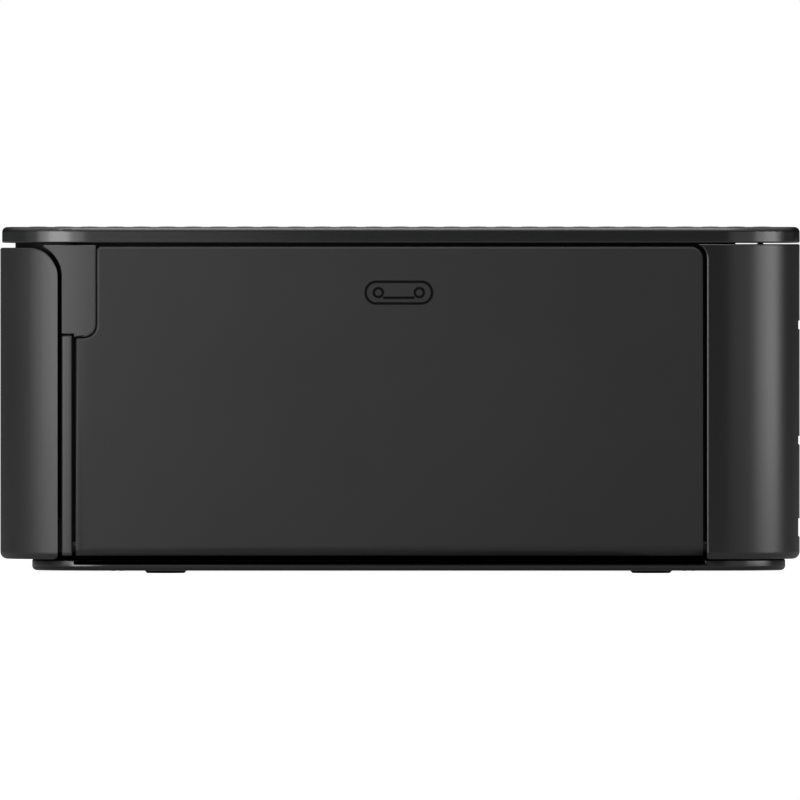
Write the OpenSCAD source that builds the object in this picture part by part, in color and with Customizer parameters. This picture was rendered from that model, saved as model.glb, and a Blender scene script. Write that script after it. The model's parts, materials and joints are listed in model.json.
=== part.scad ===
// Compact dye-sublimation photo printer, closed, standing on its feet.
// Frame: X to the printer's right (ink door side), Y to the back, Z up; the origin is on the table,
// under the middle of the case. All sizes are in millimetres.

/* [Case] */
// Width of the case, left to right
body_w = 182.2; // [180:0.2:190]
// Depth of the case, front to back
body_d = 133; // [131:0.5:142]
// Height of the printer on its feet
body_h = 57.6; // [57.2:0.2:62]
// Radius of the upright corners, in plan
corner_r = 15.2; // [14:0.2:16]
// Thickness of the outer panels
wall = 2.2; // [1.8:0.1:2.4]
// Thickness of the top cover plate
top_t = 2.65; // [2.4:0.05:2.9]
// Rounding of the top cover's upper edge
top_round = 0.9; // [0.5:0.1:1.2]
// Rounding of the case's lower edge
bottom_round = 1.2; // [0.8:0.1:1.4]
// Rounding of the edges beside the seam under the cover
seam_round = 0.25; // [0.1:0.05:0.3]

/* [Base] */
// Height of the base's underside above the table
foot_stand = 0.5; // [0.4:0.1:0.9]
// Thickness of the base tray's floor
base_t = 1.8; // [1.6:0.1:1.9]
// How far the base steps in from the case front
base_in_front = 5.3; // [5.1:0.1:6]
// How far the base steps in from the case back
base_in_back = 2.4; // [2.2:0.1:3]
// Height of the slot between the base and the ink door
door_undercut = 0.7; // [0.5:0.1:0.8]
// Length of a foot, front to back
foot_len = 6.9; // [6:0.1:9]
// Width of a foot, left to right
foot_w = 16; // [12:0.5:20]

/* [Front flap] */
// How far the flap wraps round each side
flap_wrap = 9.7; // [9.4:0.1:10]
// Radius of the flap's upper rear corners
flap_corner = 4.8; // [3.5:0.1:5.5]
// Gap between the flap's top edge and the top cover
flap_top_gap = 0.8; // [0.6:0.1:1.2]

/* [Ink door] */
// Place of the door's front edge, from the case front
door_front = 12.7; // [12.6:0.1:13.2]
// Place of the door's rear edge, from the case back
door_back = 16.2; // [16:0.1:17]
// Gap round the door
door_gap = 0.6; // [0.4:0.05:0.7]
// Radius of the barrel along the door's lower edge
door_barrel = 1.7; // [1.5:0.05:1.8]
// Radius of the door's hinge pins
door_pin_r = 0.8; // [0.6:0.05:0.9]
// Height of the pillar's lower edge above the table
pillar_z = 39.3; // [38:0.1:42]
// How much higher the pillar ends over the frame's strip
pillar_step = 0.55; // [0.4:0.05:0.8]
// Seam between the pillar and the door
pillar_seam = 0.1; // [0.05:0.05:0.2]
// Length of the pillar, front to back
pillar_len = 5.7; // [5:0.1:6.4]

/* [Display and keys] */
// Width of the display window
window_w = 88; // [84:1:90]
// Length of the display window, front to back
window_l = 62; // [58:1:66]
// Place of the display's middle, from the case middle, left to right
window_x = -10; // [-12:0.5:-8]
// Radius of a round key
key_r = 5; // [4:0.1:5.4]
// Radius of the print key
print_key_r = 6.4; // [5.5:0.1:6.8]
// Outer radius of the four-way ring
ring_r = 14; // [12:0.1:15]
// Radius of the key in the middle of the ring
ok_r = 5.6; // [4.6:0.1:6]
// Travel of a key
key_travel = 0.5; // [0.3:0.05:0.5]
// How far the keys' tops lie below the cover's surface
key_low = 0.05; // [0:0.05:0.3]
// Gap round a key
key_gap = 0.25; // [0.2:0.05:0.35]

/* [Paper path] */
// Width of the paper
paper_w = 100; // [98:0.5:101]
// Height of the paper path above the table
path_z = 25.5; // [25.3:0.1:26]
// Radius of the rubber platen roller
platen_r = 7; // [6:0.1:7.4]
// Radius of the steel capstan roller
capstan_r = 4; // [3:0.1:4.2]
// Radius of the pinch roller
pinch_r = 3; // [2.6:0.1:3.2]
// Radius of the pickup roller's tyres
pickup_r = 8; // [7:0.1:8.2]
// Radius of the roller shafts
shaft_r = 2; // [1.6:0.1:2.2]
// Running clearance of a shaft in its bush
run_gap = 0.05; // [0.03:0.01:0.08]
// Height of the paper cassette's mouth
mouth_h = 27; // [24:0.5:28]
// Height of the paper's slot in the back
slot_h = 4.8; // [4.6:0.1:5.4]

/* [Ink cassette] */
// Outer radius of each spool housing
housing_r = 10.2; // [9.8:0.1:10.3]
// Thickness of the housing walls
housing_t = 1; // [0.8:0.1:1.2]
// Radius of the full supply roll
supply_roll_r = 8.6; // [7:0.1:8.7]
// Radius of the take-up roll
takeup_roll_r = 6; // [5.2:0.1:8.6]
// Radius of the spool cores
core_r = 4.5; // [4.2:0.1:4.8]
// Travel of the ink release lever
lever_stroke = 6; // [4:0.5:7]

/* [Gear train] */
// Module of all gears
gear_m = 0.6; // [0.58:0.01:0.61]
// Width of a gear's teeth
gear_face = 4; // [3:0.1:4.2]
// Play between meshing teeth
backlash = 0.12; // [0.08:0.01:0.16]

/* [Hidden] */

EPS = 0.01;
right = body_w / 2;
front = -body_d / 2;
back = body_d / 2;

// Heights of the case
base_z = foot_stand;
floor_z = base_z + base_t;
panel_z0 = floor_z + 0.1;
cover_z = body_h - top_t;
shell_top = cover_z - 0.2;
flap_top = cover_z - flap_top_gap;
door_top = cover_z - door_gap;

// Side seams: the flap's rear edge, the frame strip, the pillar and the door's two edges
flap_end = front + flap_wrap;
seam = 0.65;
strip_y0 = flap_end + seam;
strip_y1 = front + door_front - door_gap;
pillar_y1 = strip_y0 + pillar_len;
door_y0 = front + door_front;
door_y1 = back - door_back;
shell_y = door_y1 + door_gap;
door_corner = 2;
pillar_corner = 2.1;
strip_top = pillar_z + pillar_step - 0.3;

// Hinge axes
door_axis = [right - door_barrel, panel_z0 + 0.6 + door_barrel];
flap_axis = [front + 2.6, panel_z0 + 2.5];
door_pin_in = 2.5;
pin_seat_in = 1.9;
pin_seat_low = 1.5;
pin_seat_high = 2.5;
flap_pin_r = 0.8;
flap_boss_r = 1.6;
flap_boss_x = 63;
flap_boss_w = 4;
flap_ear_w = 2.7;
ear_gap = 0.3;

// Catches that hold the flap and the door shut
flap_catch_x = 58;
catch_w = 6;
catch_t = 1.6;
catch_z = flap_top - 4.8;
door_catches = [door_y0 + 16, door_y1 - 12];

// Inner frame behind the flap
frame_gap = 0.3;
frame_in = wall + frame_gap;
frame_t = 2;

// Ink bay
bay_x1 = right - 6.5;
bay_t = 2;
bay_x0 = bay_x1 - bay_t;
bay_y0 = front + 9.5;
bay_y1 = back - 6.1;

// Chassis: two side plates, either side of the paper
side_margin = 8.5;
plate_t = 1.2;
chassis_x1 = right - 19;
chassis_x0 = chassis_x1 - paper_w - 2 * side_margin;
path_x = (chassis_x0 + chassis_x1) / 2;
pan_z0 = floor_z + 3.9;
pan_t = 1;
pan_z1 = pan_z0 + pan_t;
plate_top = 49;
mouth_z0 = pan_z1;
mouth_x0 = chassis_x0 + 0.5;
mouth_x1 = chassis_x1 - 0.5;

// Roller axes, as [y, z]
platen = [back - 56.5, path_z - platen_r];
capstan = [back - 20.5, path_z - capstan_r];
paper_t = 0.25;
pinch = [capstan[0], path_z + paper_t + pinch_r];
pickup = [front + 28.5, path_z + 2.5 + pickup_r];

// Teeth
capstan_teeth = 40;
takeup_teeth = 35;
big_teeth = 36;
reducer_teeth = 16;
pinion_teeth = 12;
pickup_teeth = 30;
pickup_reducer_teeth = 14;

function centres(a, b) = gear_m * (a + b) / 2;
function toward(p, d, angle) = [p[0] + d * cos(angle), p[1] + d * sin(angle)];

spool_z = 37;
takeup_reach = centres(capstan_teeth, takeup_teeth);
takeup = [capstan[0] - sqrt(pow(takeup_reach, 2) - pow(spool_z - capstan[1], 2)), spool_z];
supply = [2 * platen[0] - takeup[0], spool_z];
reducer_dir = 200;
pinion_dir = 150;
reducer = toward(capstan, centres(capstan_teeth, reducer_teeth), reducer_dir);
pinion = toward(reducer, centres(big_teeth, pinion_teeth), pinion_dir);
pickup_reducer_dir = 300;
pickup_pinion_dir = 180;
pickup_reducer = toward(pickup, centres(pickup_teeth, pickup_reducer_teeth), pickup_reducer_dir);
pickup_pinion = toward(pickup_reducer, centres(big_teeth, pinion_teeth), pickup_pinion_dir);
takeup_dir = atan2(takeup[1] - capstan[1], takeup[0] - capstan[0]);

// Gear planes, outwards from the left side plate
bush_flange = 0.8;
gear_x1 = chassis_x0 - plate_t - bush_flange - 0.6;
gear_x0 = gear_x1 - gear_face;
gear2_x1 = gear_x0 - 1;
gear2_x0 = gear2_x1 - gear_face;
box_x1 = gear2_x0 - 1;
box_x0 = box_x1 - plate_t;

// Thermal head
head_axis = [back - 10.5, 34];
head_rod_r = 1.5;
head_z = 29.4;
head_half_l = 50;
sink_top = 49.5;
arm_t = 1;

// Ink cassette
cassette_x0 = chassis_x0 + 1.4;
cassette_x1 = bay_x1 - 0.1;
cassette_end = 5;
housing_in = housing_r - housing_t;
cassette_z0 = spool_z - housing_r;
window_x0 = cassette_x0 + 2.5;
window_x1 = path_x + head_half_l + 3.5;
journal_r = 3.8;
spool_bore = 3.2;
slide_gap = 0.5;

// Top cover: key places, as [x, y]
window_y = 4;
cluster_x = right - 29;
ring_at = [cluster_x, 2];
plus_at = [cluster_x + 9, 32];
minus_at = [cluster_x - 9, 32];
back_at = [cluster_x - 10, -30];
print_at = [cluster_x + 10, -30];
power_at = [-right + 15, 30];
menu_at = [-right + 15, 4];
lens_at = [-right + 15, -22];
lens_r = 1;
pill_w = 11;
pill_d = 6.4;
key_top = body_h - key_low;
flange_z1 = cover_z - 0.45;
flange_t = 0.7;
key_lip = 0.9;
pill_lip = 0.7;
board_top = cover_z - 2.85;
board_t = 1;
switch_h = 0.8;

// Boards and sockets
main_z0 = floor_z + 6.5;
main_t = 1.6;
main_z1 = main_z0 + main_t;
main_x0 = -right + frame_in + frame_t + 0.5;
main_x1 = box_x0 - 1.8;
dc_x = -right + 19;
dc_z = main_z1 + 4.2;
dc_r = 2.8;
usb_x = -right + 30;
usb_z = main_z1 + 1.7;
usb_w = 8.3;
usb_h = 2.6;
card_w = 24.6;
card_h = 2.7;
card_z = main_z1 + 1.6;
card_x = box_x0 - 0.2 - card_w / 2 - 0.8;
card_y0 = front + 10;

// Fan
fan_x = -right + 25.7;
fan_z = 32;
fan_size = 25;
fan_t = 8;
fan_y1 = back - wall - 1.9;

$fn = 48;

// ---- Shared shapes ----

module box(lo, hi) {
    translate(lo) cube(hi - lo);
}

// Rod along X, at [y, z]
module rod_x(x0, x1, at, r) {
    translate([x0, at[0], at[1]]) rotate([0, 90, 0]) cylinder(h = x1 - x0, r = r);
}

// Rod along Y, at [x, z]
module rod_y(y0, y1, at, r) {
    translate([at[0], y0, at[1]]) rotate([-90, 0, 0]) cylinder(h = y1 - y0, r = r);
}

// Plate whose outline is drawn in Y and Z
module side_plate(x0, x1) {
    translate([x0, 0, 0]) rotate([90, 0, 90]) linear_extrude(x1 - x0) children();
}

module rounded_rect(w, d, r) {
    square([w - 2 * r, d], center = true);
    square([w, d - 2 * r], center = true);
    for (sx = [-1, 1], sy = [-1, 1])
        translate([sx * (w / 2 - r), sy * (d / 2 - r)]) circle(r = r, $fn = 64);
}

module rounded_block(w, d, r, z0, z1) {
    translate([0, 0, z0]) linear_extrude(z1 - z0) rounded_rect(w, d, r);
}

module flip(s) {
    mirror([s[0] < 0 ? 1 : 0, 0, 0]) mirror([0, s[1] < 0 ? 1 : 0, 0]) children();
}

// Cuts an outer corner round: p is the corner, s points out of it
module corner_cut(p, r, s) {
    translate(p) flip(s) difference() {
        translate([-r, -r]) square(r + 1);
        translate([-r, -r]) circle(r = r);
    }
}

// Fills an inner corner: p is the corner, s points into the open side
module corner_fill(p, r, s) {
    translate(p) flip(s) difference() {
        translate([-EPS, -EPS]) square(r + EPS);
        translate([r, r]) circle(r = r);
    }
}

// Section of a block's edge, from the corner's centre outwards, rounded below and above
module edge_section(r, h, e_low, e_high) {
    difference() {
        square([r, h]);
        if (e_low > 0) corner_cut([r, 0], e_low, [1, -1]);
        if (e_high > 0) corner_cut([r, h], e_high, [1, 1]);
    }
}

// Block with upright corners of radius r and rounded lower or upper edges
module soft_block(w, d, r, z0, z1, e_low = 0, e_high = 0) {
    h = z1 - z0;
    translate([0, 0, z0]) {
        linear_extrude(h) square([w - 2 * r, d - 2 * r], center = true);
        for (q = [[1, 1, 0], [-1, 1, 90], [-1, -1, 180], [1, -1, 270]])
            translate([q[0] * (w / 2 - r), q[1] * (d / 2 - r), 0]) rotate([0, 0, q[2]])
                rotate_extrude(angle = 90, $fn = 64) edge_section(r, h, e_low, e_high);
        for (turn = [0, 180]) rotate([0, 0, turn]) {
            translate([0, d / 2 - r, 0]) rotate([90, 0, 90])
                linear_extrude(w - 2 * r, center = true) edge_section(r, h, e_low, e_high);
            translate([w / 2 - r, 0, 0]) rotate([90, 0, 0])
                linear_extrude(d - 2 * r, center = true) edge_section(r, h, e_low, e_high);
        }
    }
}

// The hollow outer form of the case, from which the panels are cut
module case_form(t = wall) {
    difference() {
        soft_block(body_w, body_d, corner_r, panel_z0, shell_top, bottom_round);
        rounded_block(body_w - 2 * t, body_d - 2 * t, corner_r - t, panel_z0 - 1, shell_top + 1);
    }
}

// Slot with round ends, along X
module stadium(w, d) {
    square([w - d, d], center = true);
    for (s = [-1, 1]) translate([s * (w - d) / 2, 0]) circle(d = d);
}

// Opening in the back, drawn round its middle
module back_cut(at) {
    translate([at[0], back, at[1]]) rotate([90, 0, 0])
        linear_extrude(2 * (wall + 1), center = true) children();
}

// ---- Gears ----

pressure = 20;
function inv_deg(a) = tan(a) * 180 / PI - a;
function half_tooth(teeth, r, at) =
    let (base = r * cos(pressure), a = at > base ? acos(base / at) : 0)
    90 / teeth - backlash / (4 * r) * 180 / PI + inv_deg(pressure) - inv_deg(a);

// Outline with involute flanks: root, pitch and tip points on each side of a tooth
function gear_outline(teeth) =
    let (r = gear_m * teeth / 2, tip = r + 0.9 * gear_m, root = r - 1.2 * gear_m)
    [for (i = [0:teeth - 1], p = [[root, -1], [r, -1], [tip, -1], [tip, 1], [r, 1], [root, 1]])
        let (a = i * 360 / teeth + p[1] * half_tooth(teeth, r, p[0])) [p[0] * cos(a), p[0] * sin(a)]];

// Turn that puts a gear in mesh with one whose turn is known; dir leads from that one to it
function mesh_turn(teeth_a, turn_a, teeth_b, dir) =
    dir + 180 - 360 / teeth_b * (0.5 - (dir - turn_a) * teeth_a / 360);

module gear(x0, x1, at, teeth, turn, bore) {
    difference() {
        translate([x0, at[0], at[1]]) rotate([90, 0, 90]) linear_extrude(x1 - x0)
            rotate(turn) polygon(gear_outline(teeth));
        if (bore > 0) rod_x(x0 - 1, x1 + 1, at, bore);
    }
}

reducer_turn = mesh_turn(capstan_teeth, 0, reducer_teeth, reducer_dir);
takeup_turn = mesh_turn(capstan_teeth, 0, takeup_teeth, takeup_dir);
pinion_turn = mesh_turn(big_teeth, reducer_turn, pinion_teeth, pinion_dir);
pickup_reducer_turn = mesh_turn(pickup_teeth, 0, pickup_reducer_teeth, pickup_reducer_dir);
pickup_pinion_turn = mesh_turn(big_teeth, pickup_reducer_turn, pinion_teeth, pickup_pinion_dir);

// ---- Base ----

base_w = body_w - 2 * wall;
base_d = body_d - base_in_front - base_in_back;
base_y = (base_in_front - base_in_back) / 2;
base_r = corner_r - wall;
base_round = 0.8;
rim_gap = 0.3;
rim_t = 1.6;
rim_h = 4;
foot_seat = 0.6;
vent_count = 9;
vent_pitch = 5;
foot_places = [for (x = [-right + 22, right - 22], y = [front + 27.5, back - 24.7]) [x, y]];
post_r = 2.6;
board_posts = [for (x = [main_x0 + 4, main_x1 - 4], y = [front + 14, back - 22]) [x, y]];
pan_posts = [for (x = [chassis_x0 + 12, chassis_x1 - 12], y = [front + 14, back - 14]) [x, y]];

// Rim that the outer panels stand round, open at the ink bay and at the flap's hinges
module base_rim() {
    rim_z1 = floor_z + rim_h;
    rim_in = rim_gap + rim_t;
    hinge_room = 20;
    translate([0, base_y, 0]) difference() {
        rounded_block(base_w - 2 * rim_gap, base_d - 2 * rim_gap, base_r - rim_gap, floor_z - EPS, rim_z1);
        rounded_block(base_w - 2 * rim_in, base_d - 2 * rim_in, base_r - rim_in, floor_z - 1, rim_z1 + 1);
        translate([0, -base_y, 0]) {
            box([bay_x0 - 4, bay_y0 - 3, floor_z], [right, bay_y1 + 3, rim_z1 + 1]);
            for (x = [-right, right - hinge_room])
                box([x, front, floor_z], [x + hinge_room, front + 14, rim_z1 + 1]);
        }
    }
}

module base_post(p, top) {
    translate([p[0], p[1], floor_z - EPS]) cylinder(h = top - floor_z + EPS, r = post_r);
}

module base_tray() {
    color("dimgray") difference() {
        union() {
            translate([0, base_y, 0]) soft_block(base_w, base_d, base_r, base_z, floor_z, base_round);
            base_rim();
            for (p = board_posts) base_post(p, main_z0);
            for (p = pan_posts) base_post(p, pan_z0);
        }
        // Slot under the ink door
        box([bay_x0 + frame_gap, door_y0 - door_gap / 2, floor_z - door_undercut],
            [right, door_y1 + door_gap / 2, floor_z + 1]);
        for (p = foot_places) translate([p[0], p[1], base_z - EPS])
            linear_extrude(foot_seat) stadium(foot_w, foot_len);
        // Air inlet
        for (i = [0:vent_count - 1]) translate([-right + 32 + i * vent_pitch, 30, base_z - 1])
            linear_extrude(4) rotate(90) stadium(26, 1.8);
    }
}

module rubber_feet() {
    chamfer = 0.35;
    color([0.1, 0.1, 0.1]) for (p = foot_places) translate([p[0], p[1], 0]) {
        translate([0, 0, chamfer]) linear_extrude(base_z + foot_seat - 0.05 - chamfer)
            stadium(foot_w, foot_len);
        for (s = [-1, 1]) translate([s * (foot_w - foot_len) / 2, 0, 0])
            cylinder(h = chamfer, r1 = foot_len / 2 - chamfer, r2 = foot_len / 2);
        translate([0, 0, chamfer]) rotate([90, 0, 90]) linear_extrude(foot_w - foot_len, center = true)
            polygon([[-foot_len / 2, 0], [-foot_len / 2 + chamfer, -chamfer],
                [foot_len / 2 - chamfer, -chamfer], [foot_len / 2, 0]]);
    }
}

// ---- Outer panels ----

slot_z0 = path_z - 1.2;
slot_x0 = path_x - paper_w / 2 - 2;
slot_x1 = path_x + paper_w / 2 + 2;
slot_flare = 2;
groove_t = 0.25;
back_grooves = [[6.1, 9.1], [21.4, 22.8], [40.6, 42]];
cover_step = 0.3;

// Outline of the shell's free edge beside the ink door, with the horn over the door's corner
module shell_side() {
    horn_y0 = door_y1 - door_corner;
    horn_z0 = door_top - door_corner;
    difference() {
        union() {
            translate([shell_y, 0]) square([corner_r + back, shell_top + 1]);
            translate([horn_y0 + 0.4, horn_z0]) square([door_corner + 2, door_corner + 2]);
        }
        translate([horn_y0, horn_z0]) circle(r = door_corner + door_gap);
        translate([horn_y0 - 5, horn_z0 - 8]) square([5 + door_corner + door_gap, 8]);
    }
}

cover_posts = [[-right + 9, front + 20], [-right + 9, back - 9], [right - 9.5, back - 9]];
cover_post_r = 3;
cover_post_h = 14;
screw_r = 1.1;

// Post that the cover screws into, with its web to the shell's side
module cover_post(p) {
    side = p[0] < 0 ? -1 : 1;
    web_x = side * (right - wall + 0.3);
    translate([p[0], p[1], shell_top - cover_post_h]) cylinder(h = cover_post_h, r = cover_post_r);
    box([min(p[0], web_x), p[1] - 0.8, shell_top - 10], [max(p[0], web_x), p[1] + 0.8, shell_top - 1]);
}

// The case's full form up to the seam under the cover
module shell_block() {
    soft_block(body_w, body_d, corner_r, panel_z0, shell_top, bottom_round, seam_round);
}

module case_shell() {
    color([0.2, 0.2, 0.21]) difference() {
        union() {
            intersection() {
                difference() {
                    shell_block();
                    rounded_block(body_w - 2 * wall, body_d - 2 * wall, corner_r - wall,
                        panel_z0 - 1, shell_top + 1);
                }
                union() {
                    box([-right - 1, strip_y0, 0], [0, back + 1, shell_top + 1]);
                    side_plate(-1, right + 1) shell_side();
                }
            }
            // Seat of the ink door's rear pin
            intersection() {
                box([door_axis[0] - pin_seat_in, shell_y, door_axis[1] - pin_seat_low],
                    [right + 1, shell_y + 2.4, door_axis[1] + pin_seat_high]);
                shell_block();
            }
            for (p = cover_posts) cover_post(p);
        }
        for (p = cover_posts) translate([p[0], p[1], shell_top - cover_post_h + 2])
            cylinder(h = cover_post_h, r = screw_r);
        rod_y(shell_y - 1, shell_y + 1.5, door_axis, door_pin_r + run_gap);
        // Grooves along the back
        for (z = back_grooves) box([-right, back - groove_t, z[0]], [right, back + 1, z[1]]);
        // Paper slot, with a flared mouth
        box([slot_x0, back - wall - 1, slot_z0], [slot_x1, back + 1, slot_z0 + slot_h]);
        side_plate(slot_x0, slot_x1) polygon([[back + 1, slot_z0 - slot_flare], [back - 1, slot_z0 + EPS],
            [back - 1, slot_z0 + slot_h - EPS], [back + 1, slot_z0 + slot_h + slot_flare]]);
        // Air outlet in front of the fan
        for (i = [-3:3]) back_cut([fan_x + i * fan_size / 7, fan_z]) rotate(90) stadium(fan_size - 2, 2);
        // Power and USB openings
        back_cut([dc_x, dc_z]) circle(r = dc_r + 1);
        back_cut([usb_x, usb_z]) stadium(usb_w + 1.1, usb_h + 1);
    }
}

// Frame behind the flap, with the mouth for the paper cassette and the strip beside the ink door
module front_frame() {
    inner_y = front + frame_in + frame_t;
    collar_y = front + 9;
    boss_end = flap_boss_x + flap_boss_w;
    color([0.16, 0.16, 0.17]) difference() {
        union() {
            intersection() {
                difference() {
                    rounded_block(body_w - 2 * frame_in, body_d - 2 * frame_in, corner_r - frame_in,
                        panel_z0 + 2.6, cover_z);
                    rounded_block(body_w - 2 * (frame_in + frame_t), body_d - 2 * (frame_in + frame_t),
                        corner_r - frame_in - frame_t, 0, cover_z + 1);
                }
                box([-right, front, 0], [right, strip_y1, cover_z + 1]);
            }
            // Strip between the flap and the ink door
            intersection() {
                box([right - frame_in - frame_t, strip_y0, panel_z0 + 0.6], [right + 1, strip_y1, strip_top]);
                soft_block(body_w, body_d, corner_r, panel_z0, shell_top, bottom_round);
            }
            // Seat of the ink door's front pin
            box([door_axis[0] - pin_seat_in, strip_y0, door_axis[1] - pin_seat_low],
                [right - 1.2, strip_y1, door_axis[1] + pin_seat_high]);
            // Hinge bosses
            for (s = [0, 1]) mirror([s, 0, 0]) {
                rod_x(flap_boss_x, boss_end, flap_axis, flap_boss_r);
                box([flap_boss_x, flap_axis[0], flap_axis[1]],
                    [boss_end, inner_y, flap_axis[1] + flap_boss_r]);
            }
            // Collar round the mouth
            difference() {
                box([mouth_x0 - 1.6, inner_y - EPS, mouth_z0 + EPS],
                    [mouth_x1 + 1.6, collar_y, mouth_z0 + mouth_h + 1.6]);
                box([mouth_x0, front, mouth_z0 - 1], [mouth_x1, collar_y + 1, mouth_z0 + mouth_h]);
            }
        }
        box([mouth_x0, front, mouth_z0], [mouth_x1, collar_y + 1, mouth_z0 + mouth_h]);
        for (s = [0, 1]) mirror([s, 0, 0]) {
            // Room for the flap's ears, its pins and its corners as they swing
            rod_x(boss_end, boss_end + flap_ear_w + 2 * ear_gap, flap_axis, flap_boss_r + 0.4);
            rod_x(flap_boss_x - 1, boss_end + 1, flap_axis, flap_pin_r);
            box([boss_end + 7, front, 0], [right + boss_end, strip_y0 - EPS, flap_axis[1] + 4.6]);
            // Pocket of the flap's catch
            box([flap_catch_x - catch_w / 2 - 0.6, front, catch_z - 0.4],
                [flap_catch_x + catch_w / 2 + 0.6, front + frame_in + 1.2, catch_z + catch_t + 0.6]);
        }
        rod_y(strip_y1 - 1.4, strip_y1 + 1, door_axis, door_pin_r + run_gap);
        translate([card_x, front + 2, card_z]) rotate([90, 0, 0])
            linear_extrude(20, center = true) stadium(card_w, card_h);
    }
}

// Outline of the pillar, with its horn over the flap's corner
module pillar_side() {
    horn_y0 = flap_end - flap_corner;
    horn_z0 = flap_top - flap_corner;
    horn_tip = 2.4;
    difference() {
        union() {
            translate([strip_y0, pillar_z]) square([pillar_len, cover_z - pillar_z]);
            translate([horn_y0 + horn_tip, horn_z0]) square([flap_corner + seam, cover_z - horn_z0]);
        }
        translate([horn_y0, horn_z0]) circle(r = flap_corner + seam, $fn = 96);
        corner_cut([pillar_y1, pillar_z], pillar_corner, [1, -1]);
        translate([strip_y0 - 1, pillar_z - 1]) square([strip_y1 - strip_y0 + 1.3, pillar_step + 1]);
    }
}

// Upper corner piece between the flap and the ink door
module front_pillar() {
    pillar_in = frame_in - 0.02;
    color([0.24, 0.24, 0.25]) intersection() {
        union() {
            difference() {
                box([right - corner_r, front, 0], [right + 1, pillar_y1, cover_z]);
                rounded_block(body_w - 2 * pillar_in, body_d - 2 * pillar_in, corner_r - pillar_in,
                    0, cover_z + 1);
            }
            box([bay_x1, strip_y1 + 0.1, 0], [right + 1, pillar_y1, cover_z]);
        }
        soft_block(body_w, body_d, corner_r, panel_z0, shell_top - 0.15, bottom_round);
        side_plate(0, right + 1) pillar_side();
    }
}

flap_pocket = flap_boss_r + 0.3;
module front_flap() {
    ear_x0 = flap_boss_x + flap_boss_w + ear_gap;
    pin_mid = flap_boss_x + flap_boss_w / 2;
    inner_y = front + wall;
    color([0.22, 0.22, 0.23]) difference() {
        union() {
            intersection() {
                case_form();
                side_plate(-right - 1, right + 1) difference() {
                    translate([front - 1, panel_z0 - 1]) square([flap_wrap + 1, flap_top - panel_z0 + 1]);
                    corner_cut([flap_end, flap_top], flap_corner, [1, 1]);
                    corner_cut([flap_end, panel_z0], 0.8, [1, -1]);
                }
            }
            for (s = [0, 1]) mirror([s, 0, 0]) {
                // Hinge ear
                rod_x(ear_x0, ear_x0 + flap_ear_w, flap_axis, flap_boss_r);
                box([ear_x0, inner_y - 0.5, flap_axis[1] - flap_boss_r],
                    [ear_x0 + flap_ear_w, flap_axis[0], flap_axis[1] + flap_boss_r]);
                // Catch
                box([flap_catch_x - catch_w / 2, inner_y - 0.3, catch_z],
                    [flap_catch_x + catch_w / 2, inner_y + 1, catch_z + catch_t]);
            }
        }
        for (s = [0, 1]) mirror([s, 0, 0]) {
            rod_x(pin_mid - 2.3, pin_mid + 2.3, flap_axis, flap_pocket);
            rod_x(pin_mid - 3, pin_mid + 7, flap_axis, flap_pin_r + run_gap);
        }
    }
}

module flap_hinge_pins() {
    pin_end = flap_boss_x + flap_boss_w + ear_gap + flap_ear_w - 0.1;
    color("silver") for (s = [0, 1]) mirror([s, 0, 0])
        rod_x(flap_boss_x + 0.5, pin_end, flap_axis, flap_pin_r);
}

module door_outline() {
    notch = [pillar_y1 + pillar_seam, pillar_z - pillar_seam];
    difference() {
        translate([door_y0, door_axis[1]]) square([door_y1 - door_y0, door_top - door_axis[1]]);
        difference() {
            translate([door_y0 - 1, notch[1]]) square([notch[0] - door_y0 + 1, door_top]);
            corner_cut(notch, pillar_corner, [1, -1]);
        }
        corner_cut([door_y1, door_top], door_corner, [1, 1]);
        corner_cut([notch[0], door_top], 0.8, [-1, 1]);
        corner_cut([door_y0, notch[1]], 0.5, [-1, 1]);
    }
}

module ink_door() {
    inner_x = right - wall;
    rib_w = 1.2;
    color([0.21, 0.21, 0.22]) difference() {
        union() {
            intersection() {
                case_form();
                side_plate(0, right + 1) door_outline();
            }
            intersection() {
                rod_y(door_y0, door_y1, door_axis, door_barrel);
                rounded_block(body_w, body_d, corner_r, 0, 20);
            }
            // Stiffening ribs and catches on the inside
            for (i = [0:3]) box([inner_x - 0.9, door_y0 + 12 + i * 26, 10],
                [inner_x + 0.2, door_y0 + 12 + rib_w + i * 26, door_top - 8]);
            for (y = door_catches) box([bay_x1 + 0.4, y - catch_w / 2, door_top - 4],
                [inner_x + 0.2, y + catch_w / 2, door_top - 2.6]);
        }
        for (y = [door_y0, door_y1]) rod_y(y - door_pin_in, y + door_pin_in, door_axis, door_pin_r);
    }
}

module ink_door_pins() {
    pin_out = door_gap + 1.2;
    color("silver") {
        rod_y(door_y0 - pin_out, door_y0 + door_pin_in, door_axis, door_pin_r);
        rod_y(door_y1 - door_pin_in, door_y1 + pin_out, door_axis, door_pin_r);
    }
}

// Outline of the ink cassette's end, grown by g
module cassette_outline(g = 0) {
    for (c = [supply, takeup]) translate(c) circle(r = housing_r + g, $fn = 64);
    translate([supply[0], cassette_z0 - g]) square([takeup[0] - supply[0], 2 * (housing_r + g)]);
}

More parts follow.
